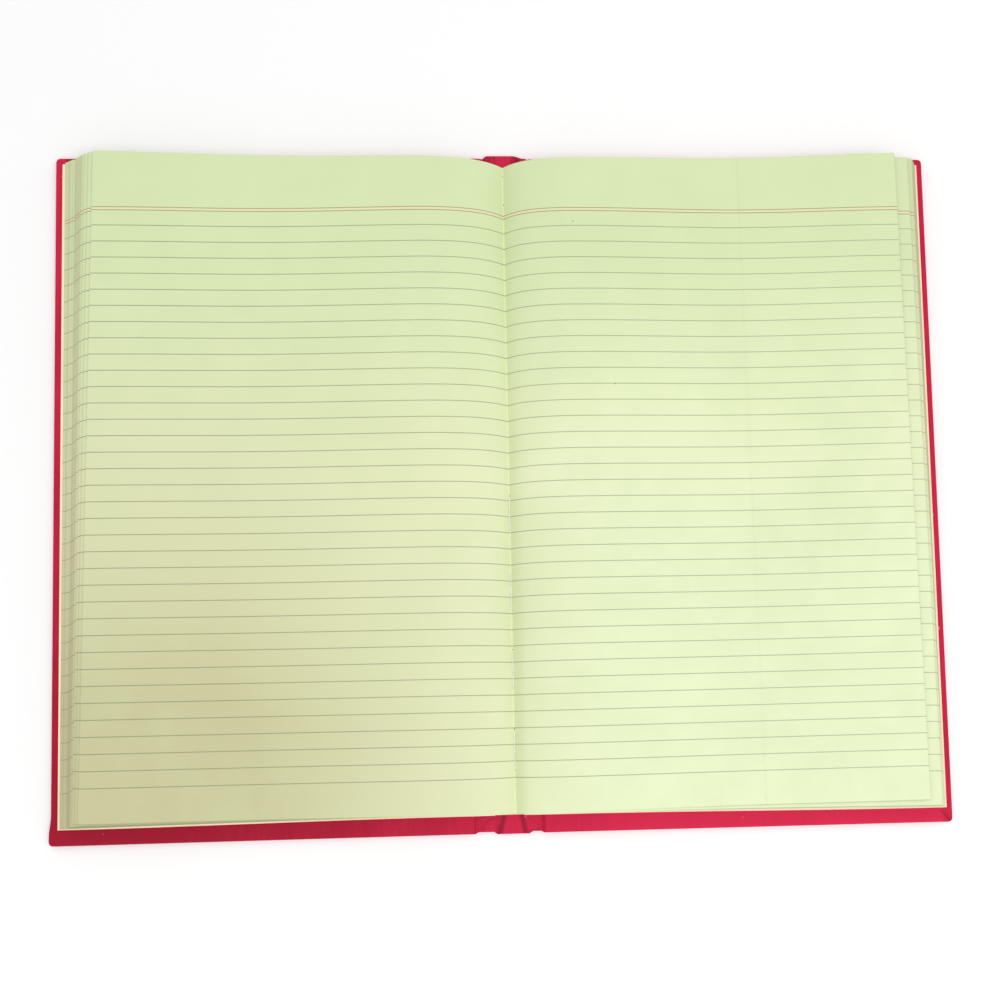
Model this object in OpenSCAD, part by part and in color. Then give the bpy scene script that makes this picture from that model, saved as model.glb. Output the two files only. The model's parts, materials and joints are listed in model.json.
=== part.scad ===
// Case-bound ruled notebook, lying open on its covers.
// X runs across the open spread, Y from tail to head, Z up from the surface it lies on.

/* [Covers] */
// Margin of a cover past the leaves at the head
head_square = 4; // [2:0.1:8]
// Margin of a cover past the leaves at the tail
tail_square = 7; // [2:0.1:10]
// Margin of a cover past its pastedown at the fore edge
fore_square = 2.7; // [1:0.1:6]
// Thickness of the board inside a cover
board_t = 2.3; // [1.6:0.1:3]
// Thickness of the book cloth
cloth_t = 0.35; // [0.25:0.05:0.45]
// Width of the cloth turned in over a board's edges
turn_in = 14; // [10:0.5:20]
// Radius of a cover's outer corners
corner_r = 1.8; // [1.2:0.1:4]
// Radius of the cloth where it wraps a board's edge
edge_r = 0.9; // [0.7:0.05:1.1]
// Width of the open seam in a mitred corner
mitre_w = 0.25; // [0.15:0.05:0.4]

/* [Spine] */
// Width of the cloth joint between the front board and the spine strip
front_joint_w = 10.4; // [8:0.1:13]
// Width of the cloth joint between the back board and the spine strip
back_joint_w = 7.2; // [6.5:0.1:13]
// Height of the cloth's arch in a joint
joint_rise = 0.9; // [0.5:0.05:1.1]
// Thickness of the card strip in the spine
strip_t = 1; // [0.7:0.05:1.2]
// How far the spine passes the covers at the head
over_head = 2; // [0.5:0.1:3]
// How far the spine passes the covers at the tail
over_tail = 0.3; // [0:0.1:2]
// Thickness of the lining glued to the folds of the sections
lining_t = 0.25; // [0.15:0.05:0.4]

/* [Text block] */
// Width of a leaf, along its surface from fold to fore edge
page_w = 184.6; // [140:0.1:220]
// Height of a leaf
page_h = 289; // [200:0.5:360]
// Thickness of all the leaves when pressed flat
block_t = 12.6; // [9:0.1:15]
// Number of sewn sections
sections = 11; // [8:1:15]
// Section that lies open at its middle, counted from the front cover
open_section = 7; // [3:1:7]
// Distance of the open fold from the middle of the folds, towards the back
open_at = 2.65; // [0:0.05:4]
// How far the front leaves rise above their pressed height
front_loft = 2; // [0.5:0.1:3]
// How far the back leaves rise above their pressed height
back_loft = 2.9; // [0.5:0.1:3.5]
// Distance constant of the open front leaf's climb out of the gutter
front_reach = 10.5; // [6:0.1:12]
// Distance constant of the open back leaf's climb out of the gutter
back_reach = 7.5; // [5:0.1:12]
// Width that the gutter takes from the open front leaf, and by degrees from those below it
front_draw = 2.1; // [0:0.1:4]
// Width that the gutter takes from the back leaves of the open section
back_draw = 5.3; // [0:0.1:6]
// Distance from the gutter to the crest of the open leaves
crest_at = 30; // [24:1:40]
// Length of the wave across the open leaves
wave_len = 150; // [120:5:200]
// Thickness of an endpaper
paper_t = 0.15; // [0.1:0.05:0.2]
// How far each endpaper shows past the leaf above it
endpaper_lap = 0.6; // [0.2:0.1:1]
// How far a pastedown has stretched past the leaves at the head and at the tail
paste_stretch = 1; // [0:0.1:1]

/* [Sewing] */
// Radius of the sewing thread
thread_r = 0.3; // [0.2:0.05:0.4]
// Number of stitches that show in the gutter
stitches = 4; // [1:1:6]
// Length of a stitch
stitch_l = 17; // [10:0.5:20]
// Distance from one stitch to the next
stitch_pitch = 33.4; // [26:0.2:40]
// Distance from the tail of the leaves to the nearest stitch
stitch_tail = 18.5; // [12:0.5:30]

/* [Hidden] */

front = -1;
back = 1;

// Half of the gap between the two ends of the cloth at a cover's hinge line
hinge_gap = 0.3;
// Clearance between the spine's turned-in cloth and the lining above it
spine_gap = 0.05;
// Clearance between a stitch and the leaves on either side of it
thread_gap = 0.03;
// Clearance between a flyleaf and the pastedown below it
leaf_gap = 0.05;
// Share of the way from its fold to the cover in which the lowest leaf levels off
level_share = 0.8;
// How far past its height a climbing leaf is aimed, so that it levels off without a kink
aim = 1.03;
// Number of stretches in a leaf's curve
leaf_steps = 26;

cover_t = board_t + 2 * cloth_t;
cover_h = page_h + head_square + tail_square;
cover_y = (over_tail - over_head) / 2;
gap_half = (block_t + front_joint_w + back_joint_w) / 2;
spine_x = (front_joint_w - back_joint_w) / 2;

// Sizes of the joint on one side, and where its hinge line and the spine's edge come
function joint_w(side) = side == front ? front_joint_w : back_joint_w;
function hinge_x(side) = gap_half - joint_w(side) / 2;
function edge_x(side) = gap_half - joint_w(side);
function arch_r(side) = (pow(joint_w(side) / 2, 2) + pow(joint_rise, 2)) / (2 * joint_rise);

spine_len = cover_h + over_head + over_tail;
spine_h = strip_t + 2 * cloth_t;
spine_r = cloth_t + strip_t / 4;

page_y = cover_y + cover_h / 2 - head_square - page_h / 2;
section_t = block_t / sections;
back_z = spine_h + spine_gap + lining_t;
fold_z = back_z + section_t / 2;
rest_z = cover_t + 2 * paper_t + leaf_gap;
front_stack_t = section_t * (open_section - 0.5);
// Distance constant of the lowest leaf's climb
root_reach = level_share * (gap_half - block_t / 2) / ln(aim / (aim - 1));

// Pressed thickness of the leaves on one side of the gutter, how far they rise above it,
// and the distance constant of the open leaf's climb
function stack_t(side) = side == front ? front_stack_t : block_t - front_stack_t;
function loft(side) = side == front ? front_loft : back_loft;
function gutter_reach(side) = side == front ? front_reach : back_reach;

// Wave across the open leaves, 1 at its crests and 0 between them
function wave(a) = (1 + cos(360 * (a - crest_at) / wave_len)) / 2;

// A leaf is u of the way up its stack, so 0 lies on the flyleaf and 1 is the open leaf.
// It climbs from its fold, where the distance a is 0, to its place in the stack.
function reach(side, u) = root_reach + (gutter_reach(side) - root_reach) * u;
function climb(side, u, a) = min(1, aim * (1 - exp(-a / reach(side, u))));
function lying_z(side, u, a) = rest_z + u * (stack_t(side) + loft(side) * wave(a));
function leaf_z(side, u, a) = fold_z + (lying_z(side, u, a) - fold_z) * climb(side, u, a);
function fold_x(side, u) = open_at + (side * block_t / 2 - open_at) * (1 - u);

// Points along a leaf out to a distance from its fold, closest where it bends most
function leaf_points(side, u, span) = [
    for (k = [0 : leaf_steps]) let (a = span * pow(k / leaf_steps, 2))
        [fold_x(side, u) + side * a, leaf_z(side, u, a)]
];

// Length that a leaf's bends take up, and so where its fore edge comes
function total(v) = v * [for (i = v) 1];
function slack(p) = total([
    for (k = [1 : len(p) - 1]) norm(p[k] - p[k - 1]) - abs(p[k][0] - p[k - 1][0])
]);
function drawn_in(side, u) = side == front ? front_draw * u
    : u > 1 - section_t / 2 / stack_t(back) ? back_draw : 0;
function fore_end(side, u) = fold_x(side, u)
    + side * (page_w - drawn_in(side, u) - slack(leaf_points(side, u, page_w)));

// Heights in the stack, as u, where one section ends and the next begins
function section_us(side) = [
    for (t = [0 : section_t : stack_t(side) - section_t / 4]) t / stack_t(side), 1
];

// Fore edge of a stack, one upright step for each section
function fore_edge(side) = let (us = section_us(side)) [
    for (i = [0 : len(us) - 2], up = [0, 1])
        let (x = fore_end(side, (us[i] + us[i + 1]) / 2), u = us[i + up])
        [x, leaf_z(side, u, abs(x - fold_x(side, u)))]
];

// Curve of the lowest or the open leaf of a stack, short of its fore edge
function inner_curve(side, u, end_x) = let (
    p = leaf_points(side, u, abs(end_x - fold_x(side, u)))
) [for (k = [0 : leaf_steps - 1]) p[k]];

function reversed(v) = [for (k = [len(v) - 1 : -1 : 0]) v[k]];

// Outline of a stack from its lowest fold, round its fore edge, to the gutter
function stack_outline(side) = let (
    edge = fore_edge(side),
    low = inner_curve(side, 0, edge[0][0]),
    high = inner_curve(side, 1, edge[len(edge) - 1][0])
) concat(low, edge, reversed(high));

// Underside of the folds from the front to the back, with glue in the grooves between them
function fold_arcs() = [
    for (i = [0 : sections - 1], turn = [-150 : 20 : -30])
        [(i + 0.5) * section_t - block_t / 2, fold_z] + section_t / 2 * [cos(turn), sin(turn)]
];

// Fore edges along X, from the lowest leaf outwards
function lowest_end(side) = abs(fore_edge(side)[0][0]);
function flyleaf_end(side) = lowest_end(side) + endpaper_lap;
function pastedown_end(side) = flyleaf_end(side) + endpaper_lap;
fore_x = max(pastedown_end(front), pastedown_end(back)) + fore_square;
cover_w = fore_x - gap_half;

// Extrudes a shape drawn in X and Z along Y
module along_y(length, mid = 0) {
    translate([0, mid, 0]) rotate([90, 0, 0])
        linear_extrude(height = length, center = true) children();
}

// Extrudes a shape drawn in Y and Z along X, from x = 0
module along_x(length) {
    rotate([90, 0, 90]) linear_extrude(height = length) children();
}

// Rectangle with rounded corners, centred
module round_rect(w, h, r) {
    square([w - 2 * r, h], center = true);
    square([w, h - 2 * r], center = true);
    for (x = [-1, 1], y = [-1, 1])
        translate([x * (w / 2 - r), y * (h / 2 - r)]) circle(r, $fn = 48);
}

// Places its children on the front or the back side of the spine
module on_side(side) {
    if (side == front) mirror([1, 0, 0]) children();
    else children();
}

// A cover's form, smaller by inset on each side but the one at the joint
module panel(inset) {
    w = cover_w - inset;
    h = cover_h - 2 * inset;
    t = cover_t - 2 * inset;
    translate([gap_half, cover_y, cover_t / 2]) intersection() {
        along_x(w) round_rect(h, t, edge_r - inset);
        along_y(h) round_rect(2 * w, t, edge_r - inset);
        translate([0, 0, -t / 2]) linear_extrude(height = t)
            round_rect(2 * w, h, corner_r - inset);
    }
}

// The part of a cover's inner face that the turned-in cloth leaves open
module window(inset, low, high) {
    w = cover_w - turn_in - inset;
    h = cover_h - 2 * (turn_in + inset);
    translate([gap_half - inset, cover_y - h / 2, low]) cube([w + inset, h, high - low]);
}

// Open seams where the turned-in cloth meets at a cover's corners
module mitres() {
    for (y = [-1, 1]) translate([fore_x, cover_y + y * cover_h / 2, cover_t - cloth_t])
        rotate([0, 0, -135 * y]) translate([0, -mitre_w / 2, 0])
            cube([turn_in * sqrt(2), mitre_w, 2 * cloth_t]);
}

// Arch of cloth in a joint between two places along X, by its layer from the outside
module arch(side, from, to, layer) {
    r = arch_r(side) + layer * cloth_t;
    intersection() {
        translate([hinge_x(side), joint_rise - arch_r(side)]) difference() {
            circle(r + cloth_t, $fn = 160);
            circle(r, $fn = 160);
        }
        translate([from, -joint_rise]) square([to - from, spine_h + 2 * joint_rise]);
    }
}

// Cloth of a joint between two places along X, turned in at the head and the tail,
// where it also hangs down the side of the piece that it comes from
module joint_cloth(side, from, to, side_x, side_h) {
    along_y(cover_h, cover_y) arch(side, from, to, 0);
    for (y = [-1, 1]) translate([0, cover_y + y * (cover_h - turn_in) / 2, 0]) {
        along_y(turn_in) arch(side, from, to, 1);
        translate([side_x, -turn_in / 2, 1.5 * cloth_t])
            cube([cloth_t, turn_in, side_h - 1.5 * cloth_t]);
    }
}

// The leaves of all the sections, open at the gutter
module text_block() {
    color("#dbe6ba") along_y(page_h, page_y)
        polygon(concat(stack_outline(back), reversed(stack_outline(front)), fold_arcs()));
}

// Stitches in the fold of the open section
module sewing_thread() {
    rise = max([for (side = [front, back])
        (lying_z(side, 1, 0) - fold_z) * aim / gutter_reach(side)]);
    z = fold_z + (thread_r + thread_gap) * sqrt(1 + rise * rise);
    first_y = page_y - page_h / 2 + stitch_tail + stitch_l / 2;
    color("white") for (i = [0 : stitches - 1])
        translate([open_at, first_y + i * stitch_pitch, z]) {
            along_y(stitch_l - 2 * thread_r) circle(thread_r, $fn = 48);
            for (y = [-1, 1]) translate([0, y * (stitch_l / 2 - thread_r), 0])
                sphere(thread_r, $fn = 48);
        }
}

// Lining glued across the folds of the sections
module spine_lining() {
    color("#d8cbb0") translate([-block_t / 2, page_y - page_h / 2, back_z - lining_t])
        cube([block_t, page_h, lining_t]);
}

// A flyleaf, under the lowest leaf of its stack
module flyleaf(side) {
    low = inner_curve(side, 0, side * lowest_end(side));
    top = concat(low, [[side * flyleaf_end(side), rest_z]]);
    color("#f2dfc4") along_y(page_h, page_y)
        polygon(concat(top, [for (p = reversed(top)) p - [0, paper_t]]));
}

// The sheet pasted down over a board and the edges of its turned-in cloth
module pastedown(side) {
    low = cover_t - cloth_t;
    high = cover_t + paper_t;
    h = page_h + 2 * paste_stretch;
    color("#f2dfc4") on_side(side) difference() {
        union() {
            translate([gap_half, page_y - h / 2, cover_t])
                cube([pastedown_end(side) - gap_half, h, paper_t]);
            window(0, low, high);
        }
        window(paper_t, low + paper_t, high + paper_t);
    }
}

// The board inside a cover
module board(side) {
    color("#8d8272") on_side(side) panel(cloth_t);
}

// The cloth round a cover, with its half of the joint
module cover_cloth(side) {
    color("#b3204a") on_side(side) {
        difference() {
            panel(0);
            panel(cloth_t);
            window(0, cover_t / 2, cover_t + cloth_t);
            mitres();
        }
        joint_cloth(side, hinge_x(side) + hinge_gap, gap_half, gap_half - cloth_t, cover_t);
    }
}

// Card strip that stiffens the spine
module spine_strip() {
    color("#8d8272") translate([spine_x - block_t / 2, 0, spine_h / 2])
        along_x(block_t) round_rect(spine_len - 2 * cloth_t, strip_t, spine_r - cloth_t);
}

// Cloth round the spine strip, with its halves of both joints
module spine_cloth() {
    color("#b3204a") {
        translate([spine_x - block_t / 2, 0, spine_h / 2]) along_x(block_t) difference() {
            round_rect(spine_len, spine_h, spine_r);
            round_rect(spine_len - 2 * cloth_t, strip_t, spine_r - cloth_t);
            translate([turn_in - spine_len / 2, 0])
                square([spine_len - 2 * turn_in, spine_h]);
        }
        for (side = [front, back]) on_side(side)
            joint_cloth(side, edge_x(side), hinge_x(side) - hinge_gap, edge_x(side), spine_h);
    }
}

text_block();
sewing_thread();
spine_lining();
spine_strip();
spine_cloth();
flyleaf(front);  // front_flyleaf
board(front);  // front_board
cover_cloth(front);  // front_cloth
pastedown(front);  // front_pastedown
flyleaf(back);  // back_flyleaf
board(back);  // back_board
cover_cloth(back);  // back_cloth
pastedown(back);  // back_pastedown
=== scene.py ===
"""A sewn, case-bound ruled notebook lying open on its covers, dressed over its CAD frame.

Sizes are in millimetres in the classes and in metres in the meshes. X runs across the open
spread, Y from tail to head, Z up from the surface that the book lies on.
"""

import json
import logging
import math
import random
from dataclasses import dataclass, field, replace
from enum import Enum
from typing import Callable, Sequence

import bmesh
import bpy
import numpy as np
from mathutils import Euler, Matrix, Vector

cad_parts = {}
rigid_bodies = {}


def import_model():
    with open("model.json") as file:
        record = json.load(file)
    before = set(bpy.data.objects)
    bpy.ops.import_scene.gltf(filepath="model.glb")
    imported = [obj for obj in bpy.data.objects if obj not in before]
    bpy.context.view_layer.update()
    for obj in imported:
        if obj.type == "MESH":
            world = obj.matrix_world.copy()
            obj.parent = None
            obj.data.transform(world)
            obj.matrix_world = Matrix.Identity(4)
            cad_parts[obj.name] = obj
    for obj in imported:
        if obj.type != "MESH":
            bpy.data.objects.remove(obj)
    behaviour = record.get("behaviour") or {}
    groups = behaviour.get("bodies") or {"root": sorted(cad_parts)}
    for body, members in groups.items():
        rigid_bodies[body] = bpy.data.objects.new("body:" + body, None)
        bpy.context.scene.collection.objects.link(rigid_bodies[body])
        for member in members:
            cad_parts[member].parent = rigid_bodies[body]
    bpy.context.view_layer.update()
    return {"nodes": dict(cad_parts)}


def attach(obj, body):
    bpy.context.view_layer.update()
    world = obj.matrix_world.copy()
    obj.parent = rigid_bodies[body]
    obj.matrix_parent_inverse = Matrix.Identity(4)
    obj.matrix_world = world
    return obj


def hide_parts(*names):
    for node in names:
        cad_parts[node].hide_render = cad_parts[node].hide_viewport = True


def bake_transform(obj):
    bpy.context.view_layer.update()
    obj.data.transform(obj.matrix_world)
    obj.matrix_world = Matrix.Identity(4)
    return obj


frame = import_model()
# A millimetre in metres, and the millimetres that a whole map of a sheet stands for.
MM = 0.001
MAP_SPAN = 400.0
WHITE = (1.0, 1.0, 1.0, 1.0)
LOG = logging.getLogger("notebook")

Triple = tuple[float, float, float]
Point = Triple
Colour = Triple


class Side(Enum):
    """The two halves of the open book, by the sign of their X."""

    FRONT = -1
    BACK = 1

    @property
    def word(self) -> str:
        """The side's name as the CAD nodes and bodies spell it."""
        return self.name.lower()


class Part(Enum):
    """What an edit-mode pick takes hold of."""

    EDGE = "EDGE"
    FACE = "FACE"


def by_side(front: float, back: float) -> dict[Side, float]:
    """Gives each half of the book its own size."""
    return {Side.FRONT: front, Side.BACK: back}


def smooth(low: float, high: float, value: float) -> float:
    """Rises from 0 at low to 1 at high, level at both ends."""
    t = min(1.0, max(0.0, (value - low) / (high - low)))
    return t * t * (3 - 2 * t)


def linear(rgb: Colour) -> tuple[float, float, float, float]:
    """Turns an sRGB colour into the linear RGBA that shader sockets hold."""
    made = [c / 12.92 if c <= 0.04045 else ((c + 0.055) / 1.055) ** 2.4 for c in rgb]
    return (made[0], made[1], made[2], 1.0)


def ripple(x: float, y: float, seed: int) -> float:
    """Gives a smooth, repeatable unevenness between about -1 and 1 at a place.

    Args:
        x: Place along the first direction, in waves.
        y: Place along the second direction, in waves.
        seed: Picks one of many patterns.

    Returns:
        The sum of a few slanted sine waves.
    """
    chance = random.Random(seed)
    total = 0.0
    for _ in range(4):
        turn, phase = chance.uniform(0, math.tau), chance.uniform(0, math.tau)
        reach = chance.uniform(0.6, 1.5)
        total += math.sin(math.tau * reach * (x * math.cos(turn) + y * math.sin(turn)) + phase)
    return total / 4


class Bench:
    """A piece in the making: a primitive, shaped with Blender's edit-mode tools."""

    def __init__(self, name: str) -> None:
        """Takes the primitive that was just added onto the bench.

        Args:
            name: The piece's name.
        """
        self.ob = bpy.context.object
        self.ob.name = name
        self.ob.data.name = name
        bpy.ops.object.transform_apply(location=True, rotation=True, scale=True)

    @classmethod
    def plane(cls, name: str, size: tuple[float, float], at: Point) -> "Bench":
        """Starts from a flat sheet.

        Args:
            name: The piece's name.
            size: Width and length in millimetres.
            at: Middle of the sheet in millimetres.

        Returns:
            The bench with the sheet on it.
        """
        bpy.ops.object.select_all(action="DESELECT")
        bpy.ops.mesh.primitive_plane_add(size=1, location=[v * MM for v in at])
        bpy.context.object.scale = (size[0] * MM, size[1] * MM, 1)
        return cls(name)

    @classmethod
    def block(cls, name: str, low: Point, high: Point) -> "Bench":
        """Starts from a block between two corners.

        Args:
            name: The piece's name.
            low: Lowest corner in millimetres.
            high: Highest corner in millimetres.

        Returns:
            The bench with the block on it.
        """
        bpy.ops.object.select_all(action="DESELECT")
        middle = [(a + b) / 2 * MM for a, b in zip(low, high)]
        bpy.ops.mesh.primitive_cube_add(size=1, location=middle)
        bpy.context.object.scale = [(b - a) * MM for a, b in zip(low, high)]
        return cls(name)

    @classmethod
    def rod(cls, name: str, radius: float, length: float, sides: int) -> "Bench":
        """Starts from a round rod that lies along Y at the origin.

        Args:
            name: The piece's name.
            radius: Radius in millimetres.
            length: Length in millimetres.
            sides: Number of faces round it.

        Returns:
            The bench with the rod on it.
        """
        bpy.ops.object.select_all(action="DESELECT")
        bpy.ops.mesh.primitive_cylinder_add(
            vertices=sides, radius=radius * MM, depth=length * MM, rotation=(math.pi / 2, 0, 0)
        )
        return cls(name)

    def pick(self, part: Part, test: Callable[[Vector, Vector], bool]) -> None:
        """Selects the parts that pass a test of their middle and their direction.

        Args:
            part: What is selected.
            test: Takes the middle in millimetres, and the normal of a face or the run of
                an edge.
        """
        if bpy.context.mode != "EDIT_MESH":
            bpy.ops.object.mode_set(mode="EDIT")
        bpy.ops.mesh.select_mode(type=part.value)
        bpy.ops.mesh.select_all(action="DESELECT")
        mesh = bmesh.from_edit_mesh(self.ob.data)
        if part is Part.EDGE:
            for e in mesh.edges:
                a, b = (v.co / MM for v in e.verts)
                e.select = test((a + b) / 2, b - a)
        else:
            for f in mesh.faces:
                f.select = test(f.calc_center_median() / MM, f.normal)
        mesh.select_flush_mode()
        bmesh.update_edit_mesh(self.ob.data)

    def extrude(self, move: Point) -> None:
        """Extrudes what is selected by a move in millimetres."""
        bpy.ops.mesh.extrude_region_move(TRANSFORM_OT_translate={"value": [v * MM for v in move]})

    def shift(self, move: Point) -> None:
        """Moves what is selected by a move in millimetres."""
        bpy.ops.transform.translate(value=[v * MM for v in move])

    def cut(self, at: Point, normal: Point) -> None:
        """Cuts the whole piece along a plane.

        Args:
            at: A point of the plane in millimetres.
            normal: The plane's normal.
        """
        bpy.ops.mesh.select_all(action="SELECT")
        bpy.ops.mesh.bisect(plane_co=[v * MM for v in at], plane_no=normal)

    def leave(self) -> bpy.types.Object:
        """Goes back to object mode.

        Returns:
            The piece.
        """
        if bpy.context.mode == "EDIT_MESH":
            bpy.ops.object.mode_set(mode="OBJECT")
        return self.ob


def use(ob: bpy.types.Object) -> None:
    """Makes a piece the only one selected, and the active one.

    Args:
        ob: The piece.
    """
    bpy.ops.object.select_all(action="DESELECT")
    ob.select_set(True)
    bpy.context.view_layer.objects.active = ob


def finish_with(ob: bpy.types.Object, kind: str, **settings: object) -> None:
    """Puts a modifier on a piece and applies it.

    Args:
        ob: The piece.
        kind: The modifier's type.
        settings: The modifier's own settings, lengths in metres.
    """
    use(ob)
    modifier = ob.modifiers.new(kind.lower(), kind)
    for key, value in settings.items():
        setattr(modifier, key, value)
    bpy.ops.object.modifier_apply(modifier=modifier.name)


def thicken(ob: bpy.types.Object, thickness: float, offset: float, even: bool = True) -> None:
    """Gives a sheet its thickness in millimetres, on the side that offset names."""
    finish_with(ob, "SOLIDIFY", thickness=thickness * MM, offset=offset, use_even_offset=even)


def copy_of(ob: bpy.types.Object, name: str) -> bpy.types.Object:
    """Copies a piece, with a mesh of its own.

    Args:
        ob: The piece to copy.
        name: The copy's name.

    Returns:
        The copy, linked to the scene.
    """
    made = ob.copy()
    made.data = ob.data.copy()
    made.name = made.data.name = name
    bpy.context.collection.objects.link(made)
    return made


def join(pieces: Sequence[bpy.types.Object], name: str) -> bpy.types.Object:
    """Joins pieces into the first one and names it.

    Args:
        pieces: What is joined.
        name: The name of the joined piece.

    Returns:
        The joined piece.
    """
    use(pieces[0])
    for other in pieces[1:]:
        other.select_set(True)
    if len(pieces) > 1:
        bpy.ops.object.join()
    pieces[0].name = pieces[0].data.name = name
    return pieces[0]


def shade(ob: bpy.types.Object, degrees: float) -> None:
    """Shades a piece smooth, apart from edges sharper than an angle."""
    use(ob)
    bpy.ops.object.shade_smooth_by_angle(angle=math.radians(degrees))


@dataclass(frozen=True)
class Tier:
    """Where the leaves of a stack have come to at one height in it.

    Attributes:
        u: Height in the stack, 0 at the lowest leaf and 1 at the open one.
        end: Distance of the fore edge from the plane x = 0, at mid height.
        lean: How far the fore edge comes in for each millimetre towards the head.
        rise: How far a leaf moves towards the head for each millimetre from its fold.
        fan: What the rise gains at the head and loses at the tail.
        drop: How far the leaf has sunk at its fore edge.
        cut: How far the head edge climbs on the leaf for each millimetre from its fold.
    """

    u: float
    end: float
    lean: float
    rise: float
    fan: float
    drop: float
    cut: float = 0.0145

    def towards(self, other: "Tier", share: float) -> "Tier":
        """Mixes this tier with another by a share of the other."""
        mixed = [a + (b - a) * share for a, b in zip(vars(self).values(), vars(other).values())]
        return Tier(*mixed)


@dataclass(frozen=True)
class Spread:
    """The leaves' sizes, and the curves that they take when the book lies open.

    Attributes:
        leaf_h: Height of a leaf.
        mid_y: Place of a leaf's middle along Y.
        tail_cut: What the tail was trimmed by at the fold, and what that gains further out.
        clump: Number of leaves that keep close together.
        squeeze: Share of its own place that a leaf keeps in its clump.
        pressed: Space of a leaf in its clump, at the fore edge.
        bulk: Thickness of all the leaves when pressed.
        sections: Number of sections.
        open_section: The section, counted from 1, that lies open in its middle.
        sheets: Folded sheets in a section.
        paper: Thickness of a leaf.
        trim_run: Distance from the fold over which the trimming's gain sets in.
        lean_run: Distance from the fold over which the fore edge's lean sets in.
        sag_run: Distances between which a leaf sags to its fore edge.
        drift: How far the ruling of a section is off its place at most.
        slip: How far that of a sheet is off its section's at most.
        fold_at: Place of the open fold along X.
        fold_z: Height of the open fold.
        fold_depth: Depth of a fold's turn, as a share of its radius.
        rest_z: Height of the lowest leaf where it lies flat.
        root_reach: Distance over which the lowest leaf rises from its fold.
        aim: How far past its height a leaf's rise would go.
        crest_at: Distance from the fold to the crest of the swell.
        wave_len: Length of the swell.
        steps: Stretches in a leaf.
        open_steps: Stretches in a leaf of the open sheet.
        open_rows: Rows in the open sheet.
        turn_columns: Columns in the turn of a fold.
        stray: How far a leaf's fore edge is off its place at most.
        loft: Height of the swell on each half.
        reach: Distance over which the highest leaf of each half rises from its fold.
        tiers: Where the leaves of each half have come to, from the lowest up.
    """

    leaf_h: float = 287.8
    mid_y: float = 1.0
    tail_cut: tuple[float, float] = (0.45, 0.75)
    clump: int = 7
    squeeze: float = 0.12
    pressed: float = 0.062
    bulk: float = 12.6
    sections: int = 11
    open_section: int = 7
    sheets: int = 7
    paper: float = 0.055
    trim_run: float = 45.0
    lean_run: float = 70.0
    sag_run: tuple[float, float] = (40.0, 185.0)
    drift: float = 0.22
    slip: float = 0.1
    fold_at: float = 2.65
    fold_z: float = 2.57273
    fold_depth: float = 0.86
    rest_z: float = 3.35
    root_reach: float = 1.99088
    aim: float = 1.03
    crest_at: float = 30.0
    wave_len: float = 150.0
    steps: int = 16
    open_steps: int = 44
    open_rows: int = 12
    turn_columns: int = 3
    stray: float = 0.03
    loft: dict[Side, float] = field(default_factory=lambda: by_side(2.0, 2.9))
    reach: dict[Side, float] = field(default_factory=lambda: by_side(10.5, 7.5))
    tiers: dict[Side, tuple[Tier, ...]] = field(
        default_factory=lambda: {
            Side.FRONT: (
                Tier(0.0, 190.2, 0.0010, -0.0125, 0.0, 0.0, 0.0215),
                Tier(0.457, 185.9, 0.0050, -0.0105, 0.0, 1.30, 0.0200),
                Tier(0.463, 185.0, 0.0062, -0.0095, 0.0, 0.90, 0.0190),
                Tier(0.920, 181.3, 0.0116, -0.0055, -0.0010, 1.15, 0.0160),
                Tier(0.924, 180.4, 0.0120, -0.0020, -0.0035, 0.75),
                Tier(0.970, 180.3, 0.0122, -0.0018, -0.0035, 0.75),
                Tier(0.973, 178.8, 0.0136, -0.0008, -0.0025, 0.40),
                Tier(0.988, 178.7, 0.0140, -0.0008, -0.0025, 0.40),
                Tier(0.990, 177.1, 0.0154, 0.0, -0.0005, 0.0),
                Tier(1.0, 177.1, 0.0154, 0.0, -0.0005, 0.0),
            ),
            Side.BACK: (
                Tier(0.0, 190.5, -0.0010, -0.0100, 0.0, 0.0),
                Tier(0.780, 187.6, 0.0030, -0.0085, 0.0, 0.95),
                Tier(0.886, 187.1, 0.0050, -0.0080, 0.0, 0.95),
                Tier(0.892, 185.6, 0.0081, -0.0073, -0.0006, 0.50),
                Tier(0.968, 185.5, 0.0081, -0.0073, -0.0006, 0.50),
                Tier(0.972, 179.8, 0.0104, 0.0042, -0.0029, 0.0),
                Tier(1.0, 179.7, 0.0104, 0.0042, -0.0029, 0.0),
            ),
        }
    )

    @property
    def section_t(self) -> float:
        """Thickness of a section."""
        return self.bulk / self.sections

    def stack_t(self, side: Side) -> float:
        """Pressed thickness of the leaves on one side of the gutter."""
        front = self.section_t * (self.open_section - 0.5)
        return front if side is Side.FRONT else self.bulk - front

    def leaves(self, side: Side) -> int:
        """Number of leaves on one side of the gutter."""
        return round(self.stack_t(side) / self.section_t * 2 * self.sheets)

    def level(self, side: Side, leaf: float) -> float:
        """Height in its stack of a leaf counted from the lowest, from 0 to 1."""
        return (leaf + 0.5) / self.leaves(side)

    def fold_x(self, side: Side, u: float) -> float:
        """Place of a leaf's fold."""
        return self.fold_at + (side.value * self.bulk / 2 - self.fold_at) * (1 - u)

    def height(self, side: Side, u: float, a: float) -> float:
        """Finds how high a leaf runs at a distance from its fold.

        Args:
            side: The half of the book.
            u: Height of the leaf in its stack.
            a: Distance from the fold along X.

        Returns:
            The height in millimetres.
        """
        wave = (1 + math.cos(math.tau * (a - self.crest_at) / self.wave_len)) / 2
        lying = self.rest_z + u * (self.stack_t(side) + self.loft[side] * wave)
        reach = self.root_reach + (self.reach[side] - self.root_reach) * u
        climb = min(1.0, self.aim * (1 - math.exp(-a / reach)))
        return self.fold_z + (lying - self.fold_z) * climb

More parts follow.
